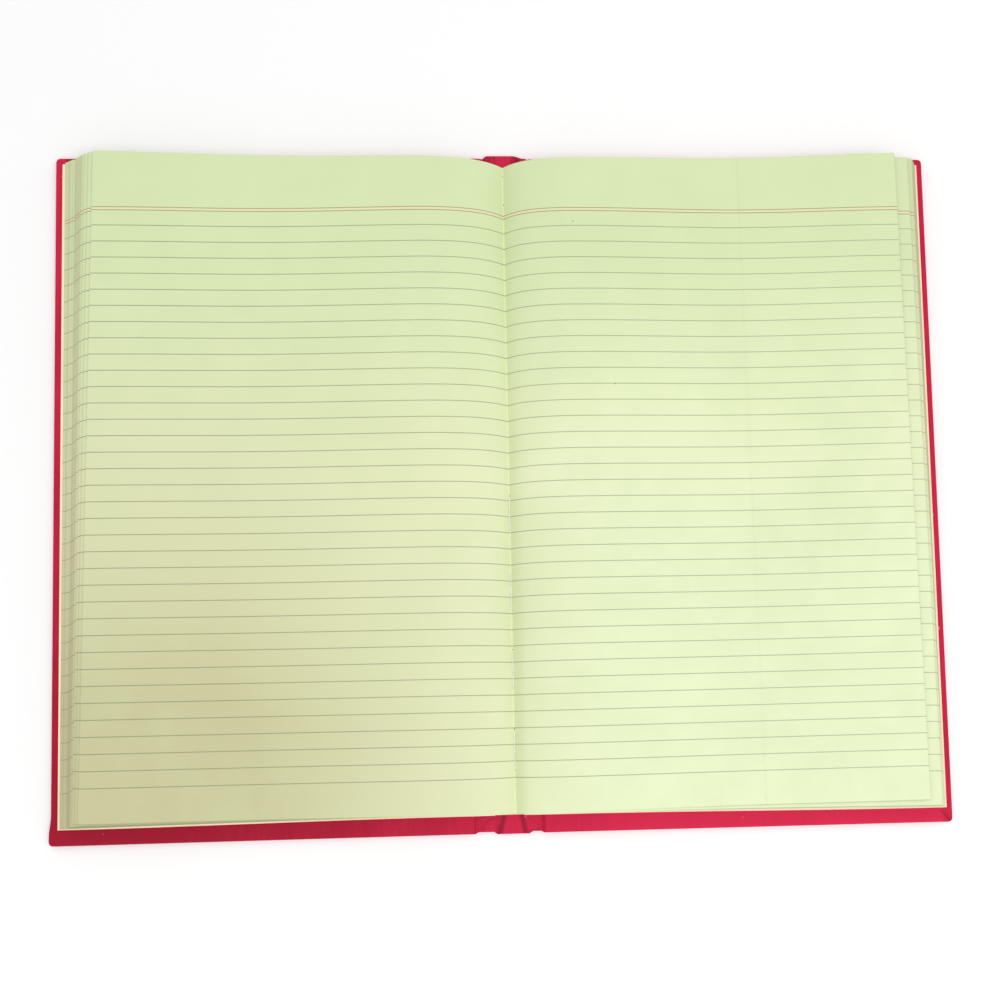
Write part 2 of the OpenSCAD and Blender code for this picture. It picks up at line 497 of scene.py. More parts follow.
    def tier(self, side: Side, u: float) -> Tier:
        """Reads the table of tiers at a height, straight between its rows.

        Args:
            side: The half of the book.
            u: Height in the stack.

        Returns:
            The tier at that height.
        """
        rows = self.tiers[side]
        for low, high in zip(rows, rows[1:]):
            if u <= high.u:
                return low.towards(high, (u - low.u) / (high.u - low.u))
        return rows[-1]

    def place(self, side: Side, leaf: int) -> Tier:
        """Finds where one leaf has come to, close to the others of its clump.

        Args:
            side: The half of the book.
            leaf: The leaf, counted from the lowest.

        Returns:
            The leaf's own tier.
        """
        own = self.tier(side, self.level(side, leaf))
        if leaf >= self.leaves(side) - self.clump:
            return own
        first = leaf // self.clump * self.clump
        clump = self.tier(side, self.level(side, first + (self.clump - 1) / 2))
        top = first + self.clump - 1
        room = self.edge_z(side, top) - self.edge_z(side, leaf)
        lifted = room - (top - leaf) * self.pressed
        return replace(clump.towards(own, self.squeeze), drop=own.drop - max(0.0, lifted))

    def edge_z(self, side: Side, leaf: float) -> float:
        """Finds how high a leaf's fore edge would lie before its clump is pressed."""
        u = self.level(side, leaf)
        return u * (self.stack_t(side) + self.loft[side]) - self.tier(side, u).drop

    def curve(self, side: Side, u: float, tier: Tier, steps: int) -> list[Triple]:
        """Runs along a leaf from its fold to its fore edge.

        Args:
            side: The half of the book.
            u: Height of the leaf in its stack.
            tier: Where the leaf has come to.
            steps: Number of stretches.

        Returns:
            For each point its x and z, and its distance from the fold along the paper.
        """
        root = self.fold_x(side, u)
        span = abs(side.value * tier.end - root)
        points, along = [], 0.0
        for k in range(steps + 1):
            a = span * (k / steps) ** 2
            sag = tier.drop * smooth(*self.sag_run, a)
            x, z = root + side.value * a, self.height(side, u, a) - sag
            if points:
                along += math.hypot(x - points[-1][0], z - points[-1][1])
            points.append((x, z, along))
        return points


@dataclass
class Leaves:
    """The sewn sheets: each is one folded sheet, nested with others in its section.

    Attributes:
        spread: The leaves' sizes and curves.
        finish: The ruled paper.
        chance: Where every small unevenness of the leaves comes from.
    """

    spread: Spread
    finish: "Finish"
    chance: random.Random = field(default_factory=lambda: random.Random(41))

    def flat(self, columns: int, rows: int) -> bpy.types.Object:
        """Models an unfolded sheet as a flat strip, a millimetre to the column.

        Args:
            columns: Number of stretches along X.
            rows: Number of stretches along Y.

        Returns:
            The flat sheet.
        """
        bench = Bench.plane("flat_sheet", (1, self.spread.leaf_h), (0.5, 0, 0))
        bench.pick(Part.EDGE, lambda at, run: abs(run.y) > 1)
        if rows > 1:
            bpy.ops.mesh.subdivide(number_cuts=rows - 1)
        bench.pick(Part.EDGE, lambda at, run: at.x > 0.99)
        for _ in range(columns - 1):
            bench.extrude((1, 0, 0))
        return bench.leave()

    def fold(self, low: tuple[Side, int], high: tuple[Side, int], steps: int) -> list[tuple]:
        """Works out one folded sheet's way from fore edge to fore edge.

        Args:
            low: Side and number of the leaf that it starts with.
            high: Side and number of the leaf that it ends with.
            steps: Stretches in each leaf.

        Returns:
            For each column x, z, the way along the paper from the fold, and the side and the
            tier of its leaf.
        """
        halves = []
        for side, leaf in (low, high):
            tier = self.spread.place(side, leaf)
            stray = self.chance.uniform(-self.spread.stray, self.spread.stray)
            tier = replace(tier, end=tier.end + stray)
            curve = self.spread.curve(side, self.spread.level(side, leaf), tier, steps)
            halves.append([(x, z, way, side, tier) for x, z, way in curve])
        first, last = halves[0], halves[1]
        left, right = first[0], last[0]
        middle, radius = (left[0] + right[0]) / 2, (left[0] - right[0]) / 2
        turn = []
        for k in range(1, self.spread.turn_columns + 1):
            angle = math.pi * k / (self.spread.turn_columns + 1)
            x = middle + radius * math.cos(angle)
            z = left[1] - abs(radius) * self.spread.fold_depth * math.sin(angle)
            turn.append((x, z, 0.0, *(left if k < 2 else right)[3:]))
        flipped = [(x, z, -way, side, tier) for x, z, way, side, tier in reversed(first)]
        return flipped + turn + last

    def lay(self, ob: bpy.types.Object, way: list[tuple], drift: float) -> None:
        """Lays a flat sheet along its way and gives it its three maps.

        The map "sheet" holds the way from the fold and the height on the sheet, the map "rim"
        the way to the fore edge and the height before the head was trimmed, both as shares of
        MAP_SPAN from its middle, and the map "pile" the leaf's height in its stack.

        Args:
            ob: The flat sheet.
            way: The columns from fold().
            drift: How far the sheet's ruling is off its place towards the head.
        """
        spread, mesh = self.spread, ob.data
        halves = (abs(way[0][2]), abs(way[-1][2]))
        count = len(mesh.vertices)
        flat = np.empty(count * 3)
        mesh.vertices.foreach_get("co", flat)
        flat = flat.reshape(count, 3)
        laid = np.empty_like(flat)
        maps = {name: np.empty((count, 2)) for name in ("sheet", "rim", "pile")}
        for i, (fx, fy, _) in enumerate(flat):
            column = round(fx / MM)
            x, z, along, side, tier = way[column]
            end = halves[column > len(way) // 2]
            out, share = abs(along), 2 * fy / MM / spread.leaf_h
            trim = spread.tail_cut[0] + spread.tail_cut[1] * smooth(0, spread.trim_run, out)
            v = fy / MM + tier.cut * max(0.0, share) * out + trim * max(0.0, -share)
            laid[i] = (
                (x - side.value * tier.lean * v * smooth(0, spread.lean_run, out)) * MM,
                (v + spread.mid_y + (tier.rise + tier.fan * share) * out) * MM,
                z * MM,
            )
            maps["sheet"][i] = (0.5 + along / MAP_SPAN, 0.5 + (v - drift) / MAP_SPAN)
            maps["rim"][i] = (0.5 + (end - out) / MAP_SPAN, 0.5 + fy / MM / MAP_SPAN)
            maps["pile"][i] = (tier.u, 0.5)
        mesh.vertices.foreach_set("co", laid.ravel())
        corners = np.empty(len(mesh.loops), dtype=np.int64)
        mesh.loops.foreach_get("vertex_index", corners)
        for layer in list(mesh.uv_layers):
            mesh.uv_layers.remove(layer)
        for name, mapped in maps.items():
            layer = mesh.uv_layers.new(name=name)
            layer.data.foreach_set("uv", mapped[corners].ravel())
        mesh.update()

    def section(self, number: int) -> bpy.types.Object:
        """Makes a section of nested sheets.

        Args:
            number: The section, counted from 1 at the front cover.

        Returns:
            The section as one piece.
        """
        spread = self.spread
        count = 2 * spread.sheets
        flat = self.flat(2 * spread.steps + spread.turn_columns + 1, 1)
        sheets = []
        opened = number == spread.open_section
        off = self.chance.uniform(-spread.drift, spread.drift)
        for m in range(spread.sheets - (1 if opened else 0)):
            if opened:
                low = (Side.FRONT, spread.leaves(Side.FRONT) - spread.sheets + m)
                high = (Side.BACK, spread.leaves(Side.BACK) - spread.sheets + m)
            else:
                in_front = number < spread.open_section
                side = Side.FRONT if in_front else Side.BACK
                first = count * (number - 1 if in_front else spread.sections - number)
                low, high = (side, first + m), (side, first + count - 1 - m)
            sheet = copy_of(flat, f"sheet_{number}_{m}")
            way = self.fold(low, high, spread.steps)
            self.lay(sheet, way, off + self.chance.uniform(-spread.slip, spread.slip))
            thicken(sheet, spread.paper, 0)
            sheets.append(sheet)
        bpy.data.objects.remove(flat)
        return join(sheets, f"section_{number}")

    def open_sheet(self) -> bpy.types.Object:
        """Makes the sheet that lies open on top of both stacks, in finer stretches.

        Returns:
            The sheet.
        """
        spread = self.spread
        flat = self.flat(2 * spread.open_steps + spread.turn_columns + 1, spread.open_rows)
        low = (Side.FRONT, spread.leaves(Side.FRONT) - 1)
        high = (Side.BACK, spread.leaves(Side.BACK) - 1)
        self.lay(flat, self.fold(low, high, spread.open_steps), 0.0)
        thicken(flat, spread.paper, 0)
        return join([flat], "open_sheet")

    def build(self) -> None:
        """Makes and dresses all the leaves."""
        pieces = [self.section(n + 1) for n in range(self.spread.sections)]
        pieces.append(self.open_sheet())
        for piece in pieces:
            shade(piece, 50)
            self.finish.dress(piece)
            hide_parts("text_block")
            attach(piece, "block")
        faces = sum(len(piece.data.polygons) for piece in pieces)
        LOG.info("leaves: %d sections and the open sheet, %d faces", len(pieces) - 1, faces)


@dataclass
class Stitches:
    """The stitches that show in the open fold, of two-ply thread.

    Attributes:
        spread: The leaves' sizes and curves.
        finish: The thread's finish.
        radius: Radius of the thread.
        length: Length of a stitch.
        middles: Places of the stitches' middles along the fold.
        twist: Way along the thread in which a ply goes round once.
        ply_r: Radius of a ply, as a share of the thread's.
        ply_off: Distance of a ply from the thread's middle, as a share of its radius.
        dip: How far both ends of a stitch sink into their holes.
        dip_run: Length over which they sink.
        seat: Height of the thread's middle over the fold, as a share of its radius.
    """

    spread: Spread
    finish: "Finish"
    radius: float = 0.3
    length: float = 17.5
    middles: tuple[float, ...] = (-115.7, -80.5, -46.7, -12.9)
    twist: float = 2.2
    ply_r: float = 0.62
    ply_off: float = 0.42
    dip: float = 0.35
    dip_run: float = 1.2
    seat: float = 1.35

    def stitch(self) -> bpy.types.Object:
        """Makes one stitch at the origin.

        Returns:
            Both of its plies, as one piece.
        """
        half = self.length / 2
        bench = Bench.rod("stitch", self.radius * self.ply_r, self.length, 8)
        bench.pick(Part.EDGE, lambda at, run: abs(run.y) > half)
        bpy.ops.mesh.subdivide(number_cuts=40)
        rod = bench.leave()
        plies = [copy_of(rod, f"ply_{ply}") for ply in range(2)]
        for ply, strand in enumerate(plies):
            for v in strand.data.vertices:
                turn = math.tau * (v.co.y / MM / self.twist + ply / 2)
                sink = self.dip * smooth(half - self.dip_run, half, abs(v.co.y) / MM)
                v.co.x += self.ply_off * self.radius * MM * math.cos(turn)
                v.co.z += (self.ply_off * self.radius * math.sin(turn) - sink) * MM
        bpy.data.objects.remove(rod)
        return join(plies, "stitch")

    def build(self) -> None:
        """Makes and dresses the stitches as one piece."""
        master = self.stitch()
        height = self.spread.fold_z + self.radius * self.seat
        made = [copy_of(master, f"stitch_{n}") for n in range(len(self.middles))]
        for piece, y in zip(made, self.middles):
            for v in piece.data.vertices:
                v.co += Vector((self.spread.fold_at * MM, y * MM, height * MM))
        bpy.data.objects.remove(master)
        thread = join(made, "stitches")
        shade(thread, 60)
        self.finish.dress(thread)
        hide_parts("sewing_thread")
        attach(thread, "block")
        LOG.info("stitches: %d, %d faces", len(made), len(thread.data.polygons))


@dataclass(frozen=True)
class Crease:
    """A crease in the cloth, from one place to another, seen from above, darkened with painted
    shade.

    Attributes:
        start: Where it starts.
        end: Where it ends.
        widths: Its width at the start and at the end.
        darkness: How dark its painted shade is, from 0 to 1.
        depth: How far the cloth sinks in it.
        soft: How softly it sinks, the square of a distance.
    """

    start: tuple[float, float]
    end: tuple[float, float]
    widths: tuple[float, float] = (0.4, 0.4)
    soil: float = 0.4
    depth: float = 0.0
    soft: float = 0.35

    @property
    def run(self) -> Triple:
        """Measures the crease.

        Returns:
            Its direction along X and Y, and its length.
        """
        dx, dy = self.end[0] - self.start[0], self.end[1] - self.start[1]
        length = math.hypot(dx, dy)
        return dx / length, dy / length, length

    def sink(self, x: float, y: float) -> float:
        """Finds how far the cloth sinks at a place.

        Args:
            x: The place along X.
            y: The place along Y.

        Returns:
            The depth in millimetres.
        """
        if not self.depth:
            return 0.0
        dx, dy, length = self.run
        a, b = x - self.start[0], y - self.start[1]
        beyond = max(0.0, -(a * dx + b * dy), a * dx + b * dy - length)
        return self.depth * math.exp(-((a * dy - b * dx) ** 2 + beyond**2) / self.soft)


# The cloth's creases: where each runs, its widths, the darkness of its painted shade, and how far
# the cloth sinks in it.
CREASES = (
    Crease((-15.0, -142.5), (-15.05, -150.9), (0.3, 0.4), 0.5),
    Crease((15.25, -142.5), (15.2, -150.9), (0.3, 0.4), 0.5),
    Crease((-2.2, -142.6), (-4.5, -151.0), (2.2, 2.4), 0.55),
    Crease((5.3, -142.8), (6.9, -151.0), (2.4, 1.9), 0.55),
    Crease((-14.4, -150.5), (-5.6, -150.9), (0.7, 0.8), 0.35),
    Crease((8.4, -150.0), (14.6, -150.0), (0.8, 0.6), 0.4),
    Crease((-7.4, -143.3), (-13.9, -149.6), (0.5, 0.5), 0.4, 0.3),
    Crease((-3.8, -143.6), (-8.9, -145.2), (0.5, 0.3), 0.35, 0.2),
    Crease((-6.9, -146.6), (-4.8, -149.2), (0.4, 0.4), 0.35, 0.2),
    Crease((8.2, -144.6), (14.4, -148.9), (0.4, 0.3), 0.4, 0.25),
    Crease((8.8, -147.0), (13.0, -149.6), (0.3, 0.3), 0.3, 0.2),
    Crease((-1.2, 151.3), (-0.7, 146.0), (0.8, 0.6), 0.45),
    Crease((7.7, 151.3), (6.4, 146.0), (0.9, 0.8), 0.5),
    Crease((-3.4, 151.0), (-3.6, 146.0), (2.6, 2.8), 0.3),
    Crease((-5.9, 150.9), (-5.9, 146.0), (1.6, 1.6), 0.55),
    Crease((9.2, 150.9), (8.9, 146.0), (2.6, 2.6), 0.5),
    Crease((188.3, -145.4), (192.7, -150.3), (0.4, 0.4), 0.75),
    Crease((189.3, -145.2), (193.3, -149.6), (0.3, 0.3), 0.55),
    Crease((-190.0, -146.1), (-193.4, -150.3), (0.3, 0.3), 0.3),
    Crease((190.6, 146.2), (193.2, 148.3), (0.3, 0.3), 0.3),
    Crease((-190.6, 146.4), (-193.2, 148.3), (0.3, 0.3), 0.3),
)


@dataclass
class Case:
    """The case that the leaves are glued into: covers, joints, spine and endpapers.

    Attributes:
        cloth: The book cloth.
        endpaper: The endpapers' finish.
        weave: The lining's finish.
        cover_t: Thickness of a cover.
        cloth_t: Thickness of the cloth.
        turn_in: Width of the turned-in cloth.
        corner_r: Radius of a cover's corners, seen from above.
        edge_r: Radius of a cover's edges.
        arc_steps: Stretches in the round of a corner or an edge.
        paper_t: Thickness of an endpaper.
        gap_half: Distance from the plane x = 0 to a cover.
        fore_x: Distance from the plane x = 0 to a cover's fore edge.
        head_y: Place of the covers' head edge.
        tail_y: Place of the covers' tail edge.
        spine_half: Half the height of the spine.
        spine_h: Thickness of the spine.
        spine_r: Radius of the spine's ends.
        joint_rise: Height of a joint's arch.
        joint_columns: Columns across a joint.
        joint_steps: Rows of a joint between its folds.
        hem_steps: Rows of its turned-in cloth.
        buckle: How uneven a joint's cloth lies.
        lump: How far the cloth swells at the front cover's tail corner.
        lump_up: Heights over the tail edge between which the swelling grows to its full.
        lump_out: Places along X between which it does so.
        lump_rows: Heights over the tail edge at which it is shaped.
        sag: How far that cover's tail edge sags towards the corner.
        sag_up: Height over the tail edge up to which the cloth sags.
        sag_out: Places along X between which the sag grows to its full.
        head_fall: Over what distance from the spine each joint's head edge is drawn in.
        head_lift: How far a joint's turned-in cloth lifts at the head.
        lift_run: Distances from the fold between which that lift grows to its full.
        drawn_in: How far a joint's tail edge is drawn in from the cover's.
        layer_gap: Distance between a joint's two layers, as a share of the cloth's thickness.
        meet: Share of a joint's width over which its upper layer climbs on its neighbours.
        edge_x: Distance from the plane x = 0 to each edge of the spine.
        paste_end: Distance from the plane x = 0 to the fore edge of each pasted endpaper.
        paste_y: Tail and head of a pasted endpaper.
        fly_y: Tail and head of a free endpaper.
        tail_cut: What an endpaper's tail was trimmed by near the fold.
        tail_run: Distances from the plane x = 0 between which that grows to its full.
        paper_near: Distances from the plane x = 0 at which an endpaper bends.
        paper_foot: Distance from the plane x = 0 at which it comes to lie flat.
        foot_dip: How far it is still below its flat height there.
        paper_far: Distances from the plane x = 0 where it lies flat.
        paste_z: Heights of a pasted endpaper where it bends.
        fly_z: Heights of a free endpaper where it bends.
        fly_gap: Space between the two.
        fly_short: How much narrower the free endpaper is.
        lining_half: Half the width of the lining.
        lining_r: Radius of its long edges.
        lining_y: Tail and head of the lining.
        lining_z: Underside and top of the lining.
        bend_gap: How far inside its cloth a joint would start and end bending; not used.
        glued_to: Distance from the plane x = 0 up to which a pasted endpaper would keep still; not
            used.
    """

    cloth: "Finish"
    endpaper: "Finish"
    weave: "Finish"
    cover_t: float = 3.0
    cloth_t: float = 0.35
    turn_in: float = 14.0
    corner_r: float = 1.8
    edge_r: float = 0.9
    arc_steps: int = 4
    paper_t: float = 0.15
    gap_half: float = 15.1
    fore_x: float = 194.152
    head_y: float = 149.15
    tail_y: float = -150.85
    spine_half: float = 151.15
    spine_h: float = 1.7
    spine_r: float = 0.6
    joint_rise: float = 0.9
    joint_columns: int = 24
    joint_steps: int = 110
    hem_steps: int = 18
    buckle: float = 0.14
    lump: float = 0.9
    lump_up: tuple[float, float] = (12.0, 3.5)
    lump_out: tuple[float, float] = (-180.0, -191.0)
    lump_rows: tuple[float, ...] = (2.5, 5.0, 8.0, 11.0)
    sag: float = 0.45
    sag_up: float = 1.5
    sag_out: tuple[float, float] = (-90.0, -185.0)
    head_fall: dict[Side, float] = field(default_factory=lambda: by_side(1.7, 3.6))
    head_lift: float = 1.2
    lift_run: tuple[float, float] = (2.7, 0.9)
    drawn_in: float = 0.85
    layer_gap: float = 1.05
    meet: float = 0.2
    edge_x: dict[Side, float] = field(default_factory=lambda: by_side(4.7, 7.9))
    paste_end: dict[Side, float] = field(default_factory=lambda: by_side(191.05, 191.45))
    paste_y: tuple[float, float] = (-144.45, 146.15)
    fly_y: tuple[float, float] = (-144.15, 145.85)
    tail_cut: float = 1.35
    tail_run: tuple[float, float] = (185.0, 30.0)
    paper_near: tuple[float, ...] = (6.3, 6.5, 7.4, 8.8, 10.6, 12.6)
    paper_foot: float = 14.2
    foot_dip: float = 0.02
    paper_far: tuple[float, ...] = (16.0, 40.0, 70.0, 100.0, 130.0, 160.0, 180.0)
    paste_z: tuple[float, ...] = (2.42, 2.30, 2.32, 2.50, 2.78, 3.0)
    fly_z: tuple[float, ...] = (2.50, 2.60, 2.62, 2.73, 2.98, 3.19)
    fly_gap: float = 0.05
    fly_short: float = 0.6
    lining_half: float = 6.3
    lining_r: float = 0.08
    lining_y: tuple[float, float] = (-142.9, 144.9)
    lining_z: tuple[float, float] = (1.75, 2.0)
    bend_gap: float = 0.3
    glued_to: float = 7.0

    def cover(self, side: Side) -> bpy.types.Object:
        """Makes the cloth round one cover's board, turned in over three edges.

        Args:
            side: The half of the book.

        Returns:
            The cloth as a shell.
        """
        s, far = side.value, side.value * self.fore_x
        xs = sorted((s * self.gap_half, far))
        low_end, high_end = (xs[0], self.tail_y, 0), (xs[1], self.head_y, self.cover_t)
        bench = Bench.block(f"{side.word}_cover_cloth", low_end, high_end)
        bench.pick(Part.EDGE, lambda at, run: abs(run.z) > 1 and abs(at.x - far) < 0.01)
        bpy.ops.mesh.bevel(offset=self.corner_r * MM, segments=self.arc_steps, affect="EDGES")
        bench.pick(Part.FACE, lambda at, normal: normal.x * s < -0.9)
        bpy.ops.mesh.delete(type="FACE")
        inner = self.fore_x - self.turn_in
        low, high = self.tail_y + self.turn_in, self.head_y - self.turn_in
        bench.cut((s * inner, 0, 0), (1, 0, 0))
        for y in (high, low, *(self.tail_y + up for up in self.lump_rows)):
            bench.cut((0, y, 0), (0, 1, 0))
        bench.pick(
            Part.FACE,
            lambda at, normal: normal.z > 0.9 and abs(at.x) < inner and low < at.y < high,
        )
        bpy.ops.mesh.delete(type="FACE")
        for end, y in ((1, self.head_y), (-1, self.tail_y)):
            bench.pick(
                Part.FACE,
                lambda at, normal: normal.z > 0.9
                and abs(at.x) > inner
                and end * (at.y - y) > -self.turn_in,
            )
            corner = [far * MM, y * MM, self.cover_t * MM]
            bpy.ops.mesh.bisect(plane_co=corner, plane_no=(1, -s * end, 0))
        bench.pick(Part.EDGE, lambda at, run: abs(run.z) < 0.01 and self.on_rim(at))
        bpy.ops.mesh.bevel(offset=self.edge_r * MM, segments=self.arc_steps, affect="EDGES")
        ob = bench.leave()
        if side is Side.FRONT:
            self.swell(ob)
        thicken(ob, self.cloth_t, -1)
        shade(ob, 35)
        return ob

    def swell(self, ob: bpy.types.Object) -> None:
        """Lets the front cover's cloth swell at its tail corner, where its folds lie thick.

        Args:
            ob: The front cover's cloth.
        """
        for v in ob.data.vertices:
            near = smooth(*self.lump_up, v.co.y / MM - self.tail_y)
            near *= smooth(*self.lump_out, v.co.x / MM)
            v.co.x -= self.lump * near * MM
            if v.co.y / MM < self.tail_y + self.sag_up:
                v.co.y -= self.sag * smooth(*self.sag_out, v.co.x / MM) * MM

    def on_rim(self, at: Vector) -> bool:
        """Whether a place lies on the outer edge of a cover, corners included."""
        inward = min(self.fore_x - abs(at.x), self.head_y - at.y, at.y - self.tail_y)
        return inward < 0.8 and abs(at.x) > self.gap_half + 0.01

    def joint_end(self, side: Side, end: int, x: float) -> float:
        """Finds where a joint's cloth ends, drawn in between the strip and the board.

        Args:
            side: The half of the book.
            end: 1 for the head and -1 for the tail.
            x: Distance from the plane x = 0.

        Returns:
            The place of its folded edge along Y.
        """
        inner, outer = self.edge_x[side], self.gap_half
        if end > 0:
            fall = smooth(inner, inner + self.head_fall[side], x)
            foot = self.head_y + 0.1 - 0.45 * smooth(outer - 3, outer, x)
            return foot + (self.spine_half - 0.5 - foot) * (1 - fall)
        drawn = self.tail_y + self.drawn_in
        dip = smooth(inner, inner + 2.6, x) * smooth(outer + 0.4, outer - 2.0, x)
        edge = -self.spine_half + (self.tail_y + self.spine_half) * smooth(inner, outer, x)
        return edge + (drawn - edge) * dip

    def joint_rows(self) -> list[tuple[int, float, float]]:
        """Lists the rows of a joint's cloth from tail to head, turned in at both ends.

        Returns:
            For each row its end, -1 or 1, or 0 between the folds; how far it lies from the
            fold at that end, or its share of the way between them; and its layer, 1 for the
            turned-in cloth and 0 for the cloth under it.
        """
        near, steps = self.cloth_t / 2 * 0.6, self.hem_steps
        hem = [(self.turn_in * (1 - k / steps), 1.0) for k in range(steps)]
        hem += [(near, 1.0), (0.02, 0.5), (near, 0.0)]
        rows = [(-1, into, layer) for into, layer in hem]
        rows += [(0, k / self.joint_steps, 0.0) for k in range(1, self.joint_steps)]
        return rows + [(1, into, layer) for into, layer in reversed(hem)]

    def joint_place(self, side: Side, row: tuple[int, float, float], t: float) -> Point:
        """Places one point of a joint's cloth on its arch, with its creases.

        Args:
            side: The half of the book.
            row: The point's row.
            t: Its share of the way from the spine to the cover.

        Returns:
            The place in millimetres.
        """
        end, into, layer = row
        inner, outer = self.edge_x[side], self.gap_half
        radius = (((outer - inner) / 2) ** 2 + self.joint_rise**2) / (2 * self.joint_rise)
        x = inner + (outer - inner) * t
        tail, head = self.joint_end(side, -1, x), self.joint_end(side, 1, x)
        y = tail + (head - tail) * into if end == 0 else (tail, head)[end > 0] - end * into
        arch = self.joint_rise - radius + math.sqrt(radius**2 - (x - (inner + outer) / 2) ** 2)
        slack = math.sin(math.pi * t)
        z = arch + self.cloth_t / 2 + layer * self.cloth_t * self.layer_gap
        z += self.buckle * slack * ripple(x / 6 + y / 9, y / 7, 5 + side.value)
        on_board, on_strip = self.cover_t - self.cloth_t * 0.6, self.spine_h - self.cloth_t / 2
        z += max(0.0, layer * smooth(1 - self.meet, 1.0, t) * (on_board - z))
        z += max(0.0, layer * smooth(self.meet, 0.0, t) * (on_strip - z))
        z += layer * self.head_lift * (end > 0) * smooth(*self.lift_run, into) * slack**0.5
        z -= layer * sum(line.sink(side.value * x, y) for line in CREASES) * slack
        return side.value * x, y, max(z, self.cloth_t / 2)

    def joint(self, side: Side) -> bpy.types.Object:
        """Makes the cloth of one joint over its arch, turned in at both ends, with its creases.

        Args:
            side: The half of the book.

        Returns:
            The joint's cloth.
        """
        across, rows = self.joint_columns, self.joint_rows()
        bench = Bench.plane(f"{side.word}_joint_cloth", (across, 1), (across / 2, 0.5, 0))
        bench.pick(Part.EDGE, lambda at, run: abs(run.x) > 1)
        bpy.ops.mesh.subdivide(number_cuts=across - 1)
        bench.pick(Part.EDGE, lambda at, run: at.y > 0.99 and abs(run.x) > 0.5)
        for _ in range(len(rows) - 2):
            bench.extrude((0, 1, 0))
        ob = bench.leave()
        for v in ob.data.vertices:
            row, t = rows[round(v.co.y / MM)], round(v.co.x / MM) / across
            v.co = [c * MM for c in self.joint_place(side, row, t)]
        if side is Side.FRONT:
            ob.data.flip_normals()
        ob.data.update()
        thicken(ob, self.cloth_t * 0.96, 0, even=False)
        shade(ob, 60)
        return ob

    def spine(self) -> bpy.types.Object:
        """Makes the cloth round the spine's card strip, turned in at both ends.

        Returns:
            The cloth as a shell.
        """
        low = (-self.edge_x[Side.FRONT], -self.spine_half, 0)
        high = (self.edge_x[Side.BACK], self.spine_half, self.spine_h)
        bench = Bench.block("spine_cloth_cover", low, high)
        bench.pick(Part.FACE, lambda at, normal: abs(normal.x) > 0.9)
        bpy.ops.mesh.delete(type="FACE")
        for end in (-1, 1):
            bench.cut((0, end * (self.spine_half - self.turn_in), 0), (0, 1, 0))
        bench.pick(Part.FACE, lambda at, normal: normal.z > 0.9 and abs(at.y) < 1)
        bpy.ops.mesh.delete(type="FACE")
        half = self.spine_half
        bench.pick(Part.EDGE, lambda at, run: abs(run.x) > 5 and abs(abs(at.y) - half) < 0.01)
        bpy.ops.mesh.bevel(offset=self.spine_r * MM, segments=self.arc_steps, affect="EDGES")
        ob = bench.leave()
        thicken(ob, self.cloth_t, -1)
        shade(ob, 35)
        return ob

    def half_endpaper(self, side: Side, pasted: bool) -> bpy.types.Object:
        """Makes one half of an endpaper, from its fold by the spine to its fore edge.

        Args:
            side: The half of the book.
            pasted: Whether it is the half on the board, not the flyleaf.

        Returns:
            The paper; its tail was trimmed a little out of square.
        """
        s, kind = side.value, "pasted" if pasted else "free"
        low, high = self.paste_y if pasted else self.fly_y
        end = self.paste_end[side] - (0 if pasted else self.fly_short)
        flat_z = self.cover_t + self.paper_t * (0.5 if pasted else 1.5)
        flat_z += 0 if pasted else self.fly_gap
        way = list(zip(self.paper_near, self.paste_z if pasted else self.fly_z))
        way += [(self.paper_foot, flat_z - self.foot_dip)]
        way += [(x, flat_z) for x in (*self.paper_far, end)]
        (x0, z0), (x1, z1) = way[:2]
        middle = (s * (x0 + x1) / 2, (low + high) / 2, z0)
        bench = Bench.plane(f"{side.word}_{kind}_endpaper", (x1 - x0, high - low), middle)
        bench.pick(Part.EDGE, lambda at, run: abs(run.y) > 1 and abs(abs(at.x) - x1) < 0.01)
        bench.shift((0, 0, z1 - z0))
        for (x0, z0), (x1, z1) in zip(way[1:], way[2:]):
            bench.extrude((s * (x1 - x0), 0, z1 - z0))
        bpy.ops.mesh.select_all(action="SELECT")
        bpy.ops.mesh.normals_make_consistent(inside=False)
        ob = bench.leave()
        if ob.data.polygons[0].normal.z < 0:
            ob.data.flip_normals()
        for v in ob.data.vertices:
            if v.co.y < 0:
                v.co.y += self.tail_cut * smooth(*self.tail_run, abs(v.co.x) / MM) * MM
        thicken(ob, self.paper_t, 0)
        shade(ob, 50)
        return ob

    def lining(self) -> bpy.types.Object:
        """Makes the lining glued over the folds, cut a little short of the leaves' tail.

        Returns:
            The lining.
        """
        low, high = zip((-self.lining_half, self.lining_half), self.lining_y, self.lining_z)
        bench = Bench.block("spine_lining_cloth", low, high)
        bench.pick(Part.EDGE, lambda at, run: abs(run.y) > 1)
        bpy.ops.mesh.bevel(offset=self.lining_r * MM, segments=2, affect="EDGES")
        return bench.leave()

    def build(self) -> None:
        """Makes the case; sets the covers, flyleaves, spine and lining on their bodies, and leaves
        the joints and pasted endpapers on none.
        """
        for side in Side:
            body = f"{side.word}_cover"
            cover = self.cover(side)
            self.cloth.dress(cover)
            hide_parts(f"{side.word}_cloth")
            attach(cover, body)
            joint = self.joint(side)
            self.cloth.dress(joint)
            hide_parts(f"{side.word}_cloth", "spine_cloth")
            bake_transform(joint)
            leaf = self.half_endpaper(side, False)
            self.endpaper.dress(leaf)
            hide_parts(f"{side.word}_flyleaf")
            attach(leaf, "block")
            paper = self.half_endpaper(side, True)
            self.endpaper.dress(paper)
            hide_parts(f"{side.word}_pastedown")
            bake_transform(paper)
        for made, finish, node in (
            (self.spine(), self.cloth, "spine_cloth"),
            (self.lining(), self.weave, "spine_lining"),
        ):
            finish.dress(made)
            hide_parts(node)
            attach(made, "block")
        LOG.info("case: two covers, two joints, spine, lining and endpapers")


